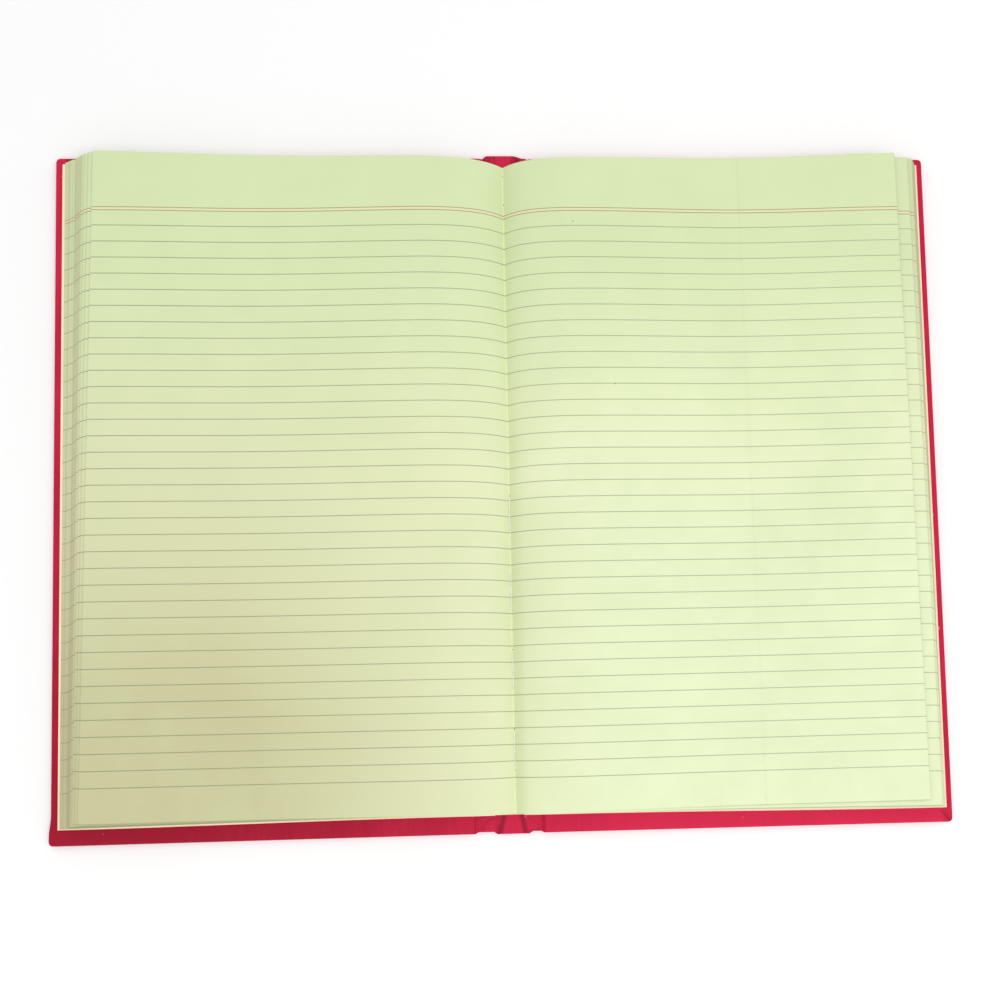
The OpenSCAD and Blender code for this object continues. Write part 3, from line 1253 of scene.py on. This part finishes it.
class Val:
    """A shader value that takes part in Python sums, each adding its Math node."""

    def __init__(self, tree: "Nodes", socket: bpy.types.NodeSocket) -> None:
        """Wraps a socket.

        Args:
            tree: The nodes that it belongs to.
            socket: The output socket.
        """
        self.tree = tree
        self.socket = socket

    def math(self, operation: str, *others: "Val | float", first: bool = True) -> "Val":
        """Adds a Math node.

        Args:
            operation: The node's operation.
            others: The other operands.
            first: Whether this value is the first operand.

        Returns:
            The node's result.
        """
        operands = (self, *others) if first else (*others, self)
        return self.tree.add("ShaderNodeMath", {"operation": operation}, dict(enumerate(operands)))

    def __add__(self, other: "Val | float") -> "Val":
        """Adds."""
        return self.math("ADD", other)

    __radd__ = __add__

    def __mul__(self, other: "Val | float") -> "Val":
        """Multiplies."""
        return self.math("MULTIPLY", other)

    __rmul__ = __mul__

    def __sub__(self, other: "Val | float") -> "Val":
        """Takes the other away from this."""
        return self.math("SUBTRACT", other)

    def __rsub__(self, other: "Val | float") -> "Val":
        """Takes this away from the other."""
        return self.math("SUBTRACT", other, first=False)

    def __truediv__(self, other: "Val | float") -> "Val":
        """Divides this by the other."""
        return self.math("DIVIDE", other)

    def __rtruediv__(self, other: "Val | float") -> "Val":
        """Divides the other by this."""
        return self.math("DIVIDE", other, first=False)

    def __abs__(self) -> "Val":
        """Leaves the sign off."""
        return self.math("ABSOLUTE")

    def __gt__(self, other: "Val | float") -> "Val":
        """Gives 1 where this is the greater, else 0."""
        return self.math("GREATER_THAN", other)

    def __lt__(self, other: "Val | float") -> "Val":
        """Gives 1 where this is the less, else 0."""
        return self.math("LESS_THAN", other)

    def round(self) -> "Val":
        """Goes to the nearest whole number."""
        return self.math("ROUND")

    def sine(self) -> "Val":
        """Takes the sine."""
        return self.math("SINE")

    def clip(self) -> "Val":
        """Keeps the value between 0 and 1."""
        return self.tree.add("ShaderNodeClamp", {}, {0: self})

    def most(self, other: "Val | float") -> "Val":
        """Takes the greater of two."""
        return self.math("MAXIMUM", other)


class Nodes:
    """The node tree of one material, or of the world."""

    def __init__(self, name: str, world: bool = False) -> None:
        """Makes an empty material or world.

        Args:
            name: Its name.
            world: Whether it is the world.
        """
        self.owner = (bpy.data.worlds if world else bpy.data.materials).new(name)
        self.owner.use_nodes = True
        self.tree = self.owner.node_tree
        self.tree.nodes.clear()

    def add(self, kind: str, settings: dict, inputs: dict, out: int | str = 0) -> Val:
        """Adds one node.

        Args:
            kind: The node's type.
            settings: Its settings.
            inputs: For each socket a link or a plain value.
            out: The output that is wanted.

        Returns:
            The wanted output.
        """
        node = self.tree.nodes.new(kind)
        for key, value in settings.items():
            setattr(node, key, value)
        for key, value in inputs.items():
            if isinstance(value, Val):
                self.tree.links.new(value.socket, node.inputs[key])
            else:
                node.inputs[key].default_value = value
        return Val(self, node.outputs[out])

    def split(self, vector: Val, axes: str) -> tuple[Val, ...]:
        """Parts a vector into its values along the axes that are named."""
        return tuple(self.add("ShaderNodeSeparateXYZ", {}, {0: vector}, axis) for axis in axes)

    def coords(self) -> Val:
        """Gives the object's own coordinates in metres."""
        return self.add("ShaderNodeTexCoord", {}, {}, "Object")

    def place(self) -> tuple[Val, ...]:
        """Gives the object's own coordinates in millimetres.

        Returns:
            The values of X, Y and Z.
        """
        scaling = {"operation": "SCALE"}
        sockets = {0: self.coords(), "Scale": 1 / MM}
        return self.split(self.add("ShaderNodeVectorMath", scaling, sockets), "XYZ")

    def read(self, name: str) -> tuple[Val, ...]:
        """Reads one of the sheets' maps.

        Args:
            name: The map's name.

        Returns:
            Its two values in millimetres from the map's middle.
        """
        values = self.split(self.add("ShaderNodeUVMap", {"uv_map": name}, {}), "XY")
        return tuple((value - 0.5) * MAP_SPAN for value in values)

    def noise(self, scale: float, detail: float, rough: float, stretch: Point = (1, 1, 1)) -> Val:
        """Adds a noise on the object's coordinates.

        Args:
            scale: Grains to the metre.
            detail: Number of finer layers.
            rough: Strength of the finer layers.
            stretch: Scale of each axis.

        Returns:
            The noise, around 0.5.
        """
        mapped = self.add("ShaderNodeMapping", {}, {"Vector": self.coords(), "Scale": stretch})
        sockets = {"Vector": mapped, "Scale": scale, "Detail": detail, "Roughness": rough}
        return self.add("ShaderNodeTexNoise", {}, sockets)

    def mix(self, share: Val, first: object, second: object) -> Val:
        """Mixes two colours.

        Args:
            share: Share of the second.
            first: The first colour, a link or RGBA.
            second: The second colour, a link or RGBA.

        Returns:
            The mixed colour.
        """
        sockets = {0: share, 6: first, 7: second}
        return self.add("ShaderNodeMix", {"data_type": "RGBA"}, sockets, 2)

    def bump(self, height: Val, depth: float, strength: float) -> Val:
        """Adds a bump.

        Args:
            height: The height from 0 to 1.
            depth: What a height of 1 stands for, in millimetres.
            strength: Share of the bump.

        Returns:
            The bumped normal.
        """
        inputs = {"Height": height, "Distance": depth * MM, "Strength": strength}
        return self.add("ShaderNodeBump", {}, inputs)

    def surface(self, **sockets: object) -> bpy.types.Material:
        """Adds the shader and the output.

        Args:
            sockets: The shader's sockets, with _ for a space.

        Returns:
            The finished material.
        """
        named = {key.replace("_", " "): value for key, value in sockets.items()}
        shader = self.add("ShaderNodeBsdfPrincipled", {}, named)
        self.add_output(shader)
        return self.owner

    def seen(self) -> Val:
        """Tells the rays that show a background, also in gloss and glass.

        Returns:
            One for those rays, and zero for the rays that light the object.
        """
        rays = [
            self.add("ShaderNodeLightPath", {}, {}, f"Is {kind} Ray")
            for kind in ("Camera", "Glossy", "Transmission")
        ]
        return rays[0].most(rays[1]).most(rays[2])

    def add_output(self, shader: Val) -> None:
        """Leads a shader to the output of the material or the world.

        Args:
            shader: The last shader.
        """
        kind = "World" if isinstance(self.owner, bpy.types.World) else "Material"
        output = self.tree.nodes.new(f"ShaderNodeOutput{kind}")
        self.tree.links.new(shader.socket, output.inputs["Surface"])


class Finish:
    """A finish: a material, and the name of its slot in the record, which nothing here reads."""

    slot_name = ""

    def __init__(self) -> None:
        """Makes the material."""
        self.material = self.make()

    def make(self) -> bpy.types.Material:
        """Makes the material; each finish has its own."""
        raise NotImplementedError

    def dress(self, ob: bpy.types.Object) -> None:
        """Puts the finish on a piece, in place of whatever it had.

        Args:
            ob: The piece.
        """
        if ob.material_slots:
            for slot in ob.material_slots:
                slot.material = self.material
        else:
            ob.data.materials.append(self.material)


class RuledPaper(Finish):
    """Green-tinted writing paper with feint rules and a double head line.

    Attributes:
        head: Its tone at the head; middle and tail are its tones further down. Partly the paper's
            tone and partly painted light: darker at the head, lighter at the lower right.
        handled: Its tone in the painted shade towards the lower left.
        dull: Its tone in dull patches, and in the painted shade beside the fold.
        rule: Colour of the rules.
        shading: Colour of the painted shade along the tail edges of the lower leaves.
        thumbed: Colour of the painted shade on the clumps of leaves and along their fore edges.
        head_line: Colour of the head line.
        head_fill: Colour between its two strokes.
        crease: Colour of the crease in the fold.
        hole: Colour of holes and specks.
        first_rule: Height of the uppermost rule on the sheet.
        pitch: Distance between rules.
        rules: Number of rules.
        rule_w: Width of a stroke.
        soft: Half the width of a head line's soft edge.
        feint: Half the width of a rule's soft edge.
        head_gap: Distance from the uppermost rule to the head line.
        head_w: Distance between the head line's strokes.
        knot: Height of the dark spot at the fold's head.
        holes: Heights of the holes in the fold.
        specks: Places of the specks.
        half_h: Half the height of a leaf.
        clumps: Number of clumps of leaves in a stack.
        tinted: How strongly a clump's fore edges are tinted at most.
        down_run: Length over which the tone changes from head to tail.
        left_run: Where along X the handled tone sets in, and over how far it grows.
        right_run: The same for the tail's tone on the right.
        dulled: How dull the paper is all over.
        shade_end: Distance from the fold to the end of the shade beside it.
        shade_fade: Length over which that shade fades.
        shade_share: Its strength.
        crease_w: Half the width of the crease.
        fill_ink: Strength of the colour between the head line's strokes.
        head_ink: Strength of the head line.
        rule_ink: Strength of the rules at the fold.
        ink_run: Length over which the rules would fade out to the right.
        rough: Roughness of the paper.
        gloss: Its gloss.
    """

    slot_name = "leaves"
    head: Colour = (0.834, 0.892, 0.700)
    middle: Colour = (0.890, 0.914, 0.746)
    tail: Colour = (0.895, 0.938, 0.772)
    handled: Colour = (0.775, 0.765, 0.595)
    dull: Colour = (0.80, 0.85, 0.66)
    rule: Colour = (0.51, 0.51, 0.48)
    worn: Colour = (0.58, 0.64, 0.48)
    thumbed: Colour = (0.74, 0.68, 0.57)
    head_line: Colour = (0.62, 0.47, 0.36)
    head_fill: Colour = (0.93, 0.885, 0.72)
    crease: Colour = (0.965, 0.975, 0.83)
    hole: Colour = (0.30, 0.33, 0.26)
    first_rule: float = 113.35
    pitch: float = 7.095
    rules: int = 35
    rule_w: float = 0.34
    soft: float = 0.07
    feint: float = 0.1
    head_gap: float = 6.77
    head_w: float = 1.35
    knot: float = 140.0
    holes: tuple[float, ...] = (126.7, -5.1, -55.4, -72.7, -89.2, -107.0, -124.7)
    specks: tuple[tuple[float, float], ...] = ((33.0, 115.3), (49.5, 42.2))
    half_h: float = 143.9
    clumps: int = 13
    # tinted: How strongly a clump is darkened at most, as painted shade.
    tinted: float = 0.24
    down_run: float = 210.0
    # left_run: Where along X the painted shade of the lower left sets in, and over how far it
    # grows.
    left_run: tuple[float, float] = (8.0, 130.0)
    # right_run: The same for the tail's lighter tone on the right, which is painted light.
    right_run: tuple[float, float] = (-10.0, 60.0)
    dulled: float = 0.12
    shade_end: float = 7.5
    shade_fade: float = 4.0
    shade_share: float = 0.34
    crease_w: float = 0.75
    fill_ink: float = 0.5
    head_ink: float = 0.85
    rule_ink: float = 0.73
    ink_run: float = 1800.0
    rough: float = 0.86
    gloss: float = 0.25

    def line(self, v: Val, at: float, width: float) -> Val:
        """Marks a line across the sheet, 1 on it and 0 off it."""
        return ((width / 2 + self.soft - abs(v - at)) / (2 * self.soft)).clip()

    def toned(self, nodes: Nodes) -> Val:
        """Gives the paper's tone with painted light and shade: darker and greener at the head,
        lighter at the lower right, darker at the lower left.

        Args:
            nodes: The material's nodes.

        Returns:
            The paper's colour, with its mottling.
        """
        x, y, _ = nodes.place()
        down = (0.5 - y / self.down_run).clip()
        left = ((self.left_run[0] - x) / self.left_run[1]).clip()
        right = ((x - self.right_run[0]) / self.right_run[1]).clip()
        # Painted light: darker and greener at the head, lighter towards the lower right.
        colour = nodes.mix((down * 2).clip(), linear(self.head), linear(self.middle))
        colour = nodes.mix(right * (down * 1.5).clip(), colour, linear(self.tail))
        # Painted shade: darker and warmer towards the lower left of the left page.
        handled = left * down * (down * 0.85 + 0.27)
        colour = nodes.mix(handled, colour, linear(self.handled))
        broad, cloudy = nodes.noise(11.0, 3.0, 0.5), nodes.noise(60.0, 4.0, 0.55)
        mottle = ((broad - 0.5) * 0.7 + (cloudy - 0.5) * 0.6 + self.dulled).clip()
        return nodes.mix(mottle, colour, linear(self.dull))

    def folded(self, nodes: Nodes, colour: Val, a: Val, v: Val) -> Val:
        """Lays the shade beside the fold and the pale crease in it.

        Args:
            nodes: The material's nodes.
            colour: The paper's colour.
            a: The way from the fold.
            v: The height on the sheet.

        Returns:
            The colour with both.
        """
        beside = ((self.shade_end - a) / self.shade_fade).clip() * (a > 0)
        beside = beside * (0.62 - v / 150).clip() * self.shade_share
        crease = ((self.crease_w - abs(a)) / 0.5).clip()
        colour = nodes.mix(beside, colour, linear(self.dull))
        return nodes.mix(crease * 0.5, colour, linear(self.crease))

    def ruled(self, nodes: Nodes, colour: Val, a: Val, v: Val) -> Val:
        """Prints the double head line and the feint rules.

        Args:
            nodes: The material's nodes.
            colour: The paper's colour.
            a: The way from the fold.
            v: The height on the sheet.

        Returns:
            The colour with the ruling.
        """
        low = self.first_rule + self.head_gap
        high = low + self.head_w
        filled = self.line(v, (low + high) / 2, self.head_w)
        double = (self.line(v, low, self.rule_w) + self.line(v, high, self.rule_w)).clip()
        colour = nodes.mix(filled * self.fill_ink, colour, linear(self.head_fill))
        colour = nodes.mix(double * self.head_ink, colour, linear(self.head_line))
        count = (self.first_rule - v) / self.pitch
        off = abs(count - count.round()) * self.pitch
        within = (count > -0.5) * (count < self.rules - 0.5)
        drawn = ((self.rule_w / 2 + self.feint - off) / (2 * self.feint)).clip() * within
        return nodes.mix(drawn * (self.rule_ink - a / self.ink_run), colour, linear(self.rule))

    def spotted(self, nodes: Nodes, colour: Val, a: Val, v: Val) -> Val:
        """Marks the holes in the fold, and the specks.

        Args:
            nodes: The material's nodes.
            colour: The paper's colour.
            a: The way from the fold.
            v: The height on the sheet.

        Returns:
            The colour with the spots.
        """
        spots = ((0.3 - abs(v - self.knot).most(abs(a))) / 0.2).clip()
        for y in self.holes:
            off = (abs(v - y) * 0.9).most(abs(a - 0.25) * 1.3)
            spots = spots.most(((0.42 - off) / 0.25).clip())
        for far, y in self.specks:
            spots = spots.most(((0.34 - abs(v - y).most(abs(a - far))) / 0.2).clip())
        return nodes.mix(spots * 0.8, colour, linear(self.hole))

    def edged(self, nodes: Nodes, colour: Val, a: Val) -> Val:
        """Paints shade: each clump of leaves darker by a random share, and dark lines along the
        fore edges and the foot.

        Args:
            nodes: The material's nodes.
            colour: The paper's colour.
            a: The way from the fold.

        Returns:
            The colour with its soiled edges.
        """
        to_edge, up = nodes.read("rim")
        (pile,) = nodes.split(nodes.add("ShaderNodeUVMap", {"uv_map": "pile"}, {}), "X")
        clump = (pile * self.clumps - 0.5).round()
        tint = nodes.add("ShaderNodeTexWhiteNoise", {"noise_dimensions": "1D"}, {"W": clump})
        # Painted shade: a dark line along each leaf's fore edge, for the shade between the clumps
        # of the fan.
        edge = ((0.2 - to_edge) / 0.1).clip() * (0.25 + tint * 0.6)
        # Painted shade along the tail edges of the lower leaves.
        foot = ((0.4 - (up + self.half_h)) / 0.25).clip() * ((abs(a) - 40) / 60).clip()
        # Painted shade: each clump darker by a random share, as clumps lying at different slopes
        # would be lit.
        colour = nodes.mix(tint * (pile < 0.98) * self.tinted, colour, linear(self.thumbed))
        colour = nodes.mix(edge, colour, linear(self.thumbed))
        return nodes.mix(foot * 0.55, colour, linear(self.worn))

    def make(self) -> bpy.types.Material:
        """Makes the ruled paper from the sheets' own maps.

        Returns:
            The material.
        """
        nodes = Nodes("ruled_paper")
        a, v = nodes.read("sheet")
        colour = self.folded(nodes, self.toned(nodes), a, v)
        colour = self.spotted(nodes, self.ruled(nodes, colour, a, v), a, v)
        grain = nodes.noise(2600.0, 3.0, 0.7, (1, 0.5, 1))
        return nodes.surface(
            Base_Color=self.edged(nodes, colour, a),
            Roughness=self.rough,
            Normal=nodes.bump(grain, 0.02, 0.6),
            Specular_IOR_Level=self.gloss,
        )


class BookCloth(Finish):
    """Red book cloth: a plain weave under a thin filling, with a low sheen.

    Attributes:
        bright: Its lighter tone: painted light towards the right, and random patches.
        dark: Its darker tone: painted shade towards the left, and random patches.
        low: Colour between the threads, painted shade in the weave's hollows.
        pale: Colour of the flecks.
        soiled: Colour of the painted shade in the creases.
        thread: Distance from thread to thread.
        down_run: Length over which the left fore edge's lighter tone fades from head to tail.
        fore_run: How far out the fore edges turn lighter on the left and darker on the right, and
            over how far that grows.
        across_run: Where along X the painted light, lighter towards the right, sets in, and over
            how far it grows.
        upper_z: Height over which the creases get their painted shade.
        rough: Roughness in the gaps between the threads.
        sheen: Sheen of the cloth.
        gloss: Its gloss.
        flecks: Places and sizes of the clearest flecks.
    """

    slot_name = "cloth"
    bright: Colour = (0.87, 0.155, 0.31)
    dark: Colour = (0.64, 0.075, 0.185)
    low: Colour = (0.55, 0.06, 0.15)
    pale: Colour = (0.90, 0.62, 0.66)
    soiled: Colour = (0.34, 0.03, 0.09)
    thread: float = 0.52
    down_run: float = 260.0
    fore_run: tuple[float, float] = (189.0, 1.5)
    across_run: tuple[float, float] = (-110.0, 165.0)
    upper_z: float = 1.1
    rough: float = 0.6
    sheen: float = 0.03
    gloss: float = 0.14
    flecks: tuple[Triple, ...] = (
        (190.9, 3.9, 0.5),
        (191.4, -15.1, 0.5),
        (191.7, -65.7, 0.5),
        (6.7, -144.0, 0.3),
    )

    def worn(self, x: Val, y: Val) -> Val:
        """Marks the painted shade in the creases, on the cloth's upper side.

        Args:
            x: The place along X.
            y: The place along Y.

        Returns:
            1 in a crease that is quite dark, and 0 off it.
        """
        marks = None
        for line in CREASES:
            dx, dy, length = line.run
            a, b = x - line.start[0], y - line.start[1]
            along = a * dx + b * dy
            off = abs(a * dy - b * dx)
            near, far = line.widths[0] / 2, line.widths[1] / 2
            width = near + (far - near) * (along / length).clip()
            across = ((width - off) / (width + 0.3) + 0.5).clip()
            ends = ((length / 2 + 0.3 - abs(along - length / 2)) / 0.6).clip()
            mark = across * ends * line.soil
            marks = mark if marks is None else marks.most(mark)
        return marks

    def make(self) -> bpy.types.Material:
        """Makes the cloth's weave on the piece's own coordinates.

        Returns:
            The material.
        """
        nodes = Nodes("red_book_cloth")
        x, y, z = nodes.place()
        warp = ((x + z) * (math.tau / self.thread)).sine()
        weft = (y * (math.tau / self.thread)).sine()
        weave = warp * weft * 0.5 + 0.5
        slub = nodes.noise(700.0, 2.0, 0.6, (1, 0.12, 1))
        height = weave * 0.75 + slub * 0.5
        broad = nodes.noise(22.0, 3.0, 0.55)
        down = (0.5 - y / self.down_run).clip()
        fore = ((abs(x) - self.fore_run[0]) / self.fore_run[1]).clip()
        # Painted light: the cloth lighter towards the right, darker towards the left.
        across = ((x - self.across_run[0]) / self.across_run[1]).clip()
        across = across + fore * ((x < 0) * 0.6 * (1 - down * down * 1.15) - (x > 0) * 0.42)
        # Share of the lighter tone: the painted light, random patches and the fore edges' tones.
        worn = (across + (broad - 0.5) * 0.7 + (slub - 0.5) * 0.35).clip()
        colour = nodes.mix(worn, linear(self.dark), linear(self.bright))
        # Painted shade between the threads.
        colour = nodes.mix((1 - weave) * 0.2, colour, linear(self.low))
        # Painted shade in the creases.
        upper = ((z - self.upper_z) * 4).clip()
        colour = nodes.mix(self.worn(x, y) * upper, colour, linear(self.soiled))
        fleck = ((nodes.noise(380.0, 1.0, 0.3) - 0.80) * 16).clip() * 0.5
        for at_x, at_y, size in self.flecks:
            fleck = fleck.most(((size - abs(x - at_x).most(abs(y - at_y) * 0.7)) / 0.3).clip())
        colour = nodes.mix(fleck * 0.8, colour, linear(self.pale))
        return nodes.surface(
            Base_Color=colour,
            Roughness=self.rough + weave * 0.14,
            Normal=nodes.bump(height, 0.06, 0.7),
            Sheen_Weight=self.sheen,
            Specular_IOR_Level=self.gloss,
        )


class Plain(Finish):
    """A plain finish: two tones in soft patches, with a fine tooth.

    Attributes:
        title: The material's name.
        light: The tone of most of it.
        dark: The tone of the patches.
        patches: Scale, detail and roughness of the patches' noise.
        spread: What is taken from that noise, its gain, and what is added.
        grain: Scale, detail and roughness of the tooth's noise.
        stretch: Scale of the tooth along each axis.
        tooth: Depth in millimetres and share of the tooth.
        rough: The surface's roughness.
        sockets: Further sockets of the shader.
    """

    title = ""
    light: Colour = (1.0, 1.0, 1.0)
    dark: Colour = (1.0, 1.0, 1.0)
    patches: Triple = (500.0, 3.0, 0.6)
    spread: Triple = (0.5, 1.0, 0.0)
    grain: Triple = (1500.0, 3.0, 0.7)
    stretch: Triple = (1, 1, 1)
    tooth: tuple[float, float] = (0.02, 0.6)
    rough: float = 0.8
    sockets: dict[str, float] = {}

    def make(self) -> bpy.types.Material:
        """Makes the patches and the tooth on the piece's own coordinates.

        Returns:
            The material.
        """
        nodes = Nodes(self.title)
        less, gain, more = self.spread
        share = ((nodes.noise(*self.patches) - less) * gain + more).clip()
        colour = nodes.mix(share, linear(self.light), linear(self.dark))
        normal = nodes.bump(nodes.noise(*self.grain, self.stretch), *self.tooth)
        further = {"Normal": normal, **self.sockets}
        return nodes.surface(Base_Color=colour, Roughness=self.rough, **further)


class Endpaper(Plain):
    """Cream endpaper, a little warmer in patches."""

    slot_name = "endpaper"
    title = "cream_endpaper"
    light = (0.99, 0.935, 0.81)
    dark = (0.96, 0.86, 0.73)
    patches = (30.0, 4.0, 0.6)
    spread = (0.5, 1.6, 0.4)
    grain = (2400.0, 3.0, 0.7)
    rough = 0.84
    sockets = {"Specular_IOR_Level": 0.25}


class GreyBoard(Plain):
    """Plain grey board with its flecks."""

    slot_name = "board"
    title = "grey_board"
    light = (0.56, 0.51, 0.45)
    dark = (0.40, 0.36, 0.31)
    patches = (900.0, 3.0, 0.7)
    spread = (0.45, 2.2, 0.0)
    tooth = (0.05, 0.7)
    rough = 0.9


class SewingThread(Plain):
    """White cotton thread, slightly dirtied."""

    slot_name = "thread"
    title = "cotton_thread"
    light = (0.97, 0.97, 0.93)
    dark = (0.86, 0.86, 0.78)
    spread = (0.5, 2.0, 0.4)
    grain = (5200.0, 2.0, 0.6)
    stretch = (1, 0.3, 1)
    tooth = (0.04, 0.8)
    rough = 0.75
    sockets = {"Sheen_Weight": 0.2}


class OpenWeave(Finish):
    """The spine's lining: open weave set in glue.

    Attributes:
        glue: Colour of the glued threads.
        gap: Colour between them.
        mesh: Distance from thread to thread.
    """

    slot_name = "lining"
    glue: Colour = (0.95, 0.89, 0.76)
    gap: Colour = (0.84, 0.76, 0.61)
    mesh: float = 1.1

    def make(self) -> bpy.types.Material:
        """Makes the open weave on the lining's own coordinates.

        Returns:
            The material.
        """
        nodes = Nodes("open_weave_lining")
        x, y, _ = nodes.place()
        warp, weft = (abs((way * (math.pi / self.mesh)).sine()) for way in (x, y))
        shown = ((warp.most(weft) - 0.8) * 6).clip()
        colour = nodes.mix(shown, linear(self.gap), linear(self.glue))
        return nodes.surface(Base_Color=colour, Roughness=0.8, Normal=nodes.bump(shown, 0.12, 0.8))


@dataclass(frozen=True)
class Studio:
    """The pale floor, the soft light and the camera over the open book.

    Attributes:
        floor_size: Side of the floor in metres.
        floor_z: Height of the floor in metres, just under the book.
        floor_grey: Lightness of the floor near the book.
        fade: Between which distances in metres the floor fades to white.
        sky: Strength of the even light from all round.
        key_power: Power of the soft light in watts.
        key_size: Its width in metres.
        key_at: Its place in metres.
        lens: The camera's lens in millimetres.
        sensor: The width of its sensor in millimetres.
        clip_start: How near it sees, in metres.
        eye: Its place in millimetres.
        tilt: Its turn about X, Y and Z in degrees.
        shift: Its shift along X and Y.
    """

    floor_size: float = 9.0
    floor_z: float = -0.0003
    floor_grey: float = 0.97
    fade: tuple[float, float] = (0.45, 1.3)
    sky: float = 0.80
    key_power: float = 5.6
    key_size: float = 0.9
    key_at: Point = (0.32, -0.40, 1.2)
    lens: float = 39.6
    sensor: float = 36.0
    clip_start: float = 0.01
    eye: Point = (-12.51, -100.16, 480.35)
    tilt: Point = (4.02, -2.53, -1.25)
    shift: tuple[float, float] = (-0.02755, 0.13874)

    def floor(self) -> None:
        """Lays the floor, which a look from underneath passes through."""
        bpy.ops.object.select_all(action="DESELECT")
        bpy.ops.mesh.primitive_plane_add(size=self.floor_size, location=(0, 0, self.floor_z))
        ob = bpy.context.object
        ob.name = "floor"
        bpy.ops.object.transform_apply(location=True, rotation=True, scale=True)
        nodes = Nodes("pale_floor")
        grey = (self.floor_grey,) * 3 + (1,)
        plain = nodes.add("ShaderNodeBsdfDiffuse", {}, {"Color": grey})
        length = {"operation": "LENGTH"}
        away = nodes.add("ShaderNodeVectorMath", length, {0: nodes.coords()}, "Value")
        white = nodes.add("ShaderNodeEmission", {}, {"Color": WHITE, "Strength": 1.0})
        far = ((away - self.fade[0]) / (self.fade[1] - self.fade[0])).clip() * nodes.seen()
        plain = nodes.add("ShaderNodeMixShader", {}, {0: far, 1: plain, 2: white})
        clear = nodes.add("ShaderNodeBsdfTransparent", {}, {})
        behind = nodes.add("ShaderNodeNewGeometry", {}, {}, "Backfacing")
        nodes.add_output(nodes.add("ShaderNodeMixShader", {}, {0: behind, 1: plain, 2: clear}))
        ob.data.materials.append(nodes.owner)

    def light(self) -> None:
        """Sets the soft key at the lower right, with an even sky round it."""
        bpy.ops.object.select_all(action="DESELECT")
        bpy.ops.object.light_add(type="AREA", location=self.key_at)
        key = bpy.context.object
        key.name = "key_light"
        key.data.energy = self.key_power
        key.data.shape = "DISK"
        key.data.size = self.key_size
        key.rotation_euler = (-key.location).to_track_quat("-Z", "Y").to_euler()
        nodes = Nodes("sky", world=True)
        bpy.context.scene.world = nodes.owner
        lit = nodes.add("ShaderNodeBackground", {}, {"Color": WHITE, "Strength": self.sky})
        plain = nodes.add("ShaderNodeBackground", {}, {"Color": WHITE, "Strength": 1.0})
        sockets = {0: nodes.seen(), 1: lit, 2: plain}
        nodes.add_output(nodes.add("ShaderNodeMixShader", {}, sockets))

    def camera(self) -> None:
        """Sets the camera at the photograph's place."""
        data = bpy.data.cameras.new("camera")
        data.sensor_width = self.sensor
        data.lens = self.lens
        data.shift_x, data.shift_y = self.shift
        data.clip_start = self.clip_start
        ob = bpy.data.objects.new("camera", data)
        bpy.context.collection.objects.link(ob)
        ob.location = [v * MM for v in self.eye]
        ob.rotation_euler = Euler([math.radians(v) for v in self.tilt], "XYZ")
        bpy.context.scene.camera = ob

    def build(self) -> None:
        """Sets up the floor, the light and the camera."""
        self.floor()
        self.light()
        self.camera()
        bpy.context.scene.view_settings.view_transform = "Standard"


def main() -> None:
    """Builds the studio and the book."""
    logging.basicConfig(level=logging.INFO, format="%(name)s: %(message)s")
    Studio().build()
    spread = Spread()
    Leaves(spread, RuledPaper()).build()
    Stitches(spread, SewingThread()).build()
    Case(BookCloth(), Endpaper(), OpenWeave()).build()
    board = GreyBoard()
    for name in ("front_board", "back_board", "spine_strip"):
        board.dress(frame["nodes"][name])
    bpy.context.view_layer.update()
    for name, ob in sorted((o.name, o) for o in bpy.data.objects if o.type == "MESH"):
        LOG.info("%s: %d faces", name, len(ob.data.polygons))


if __name__ == "__main__":
    main()
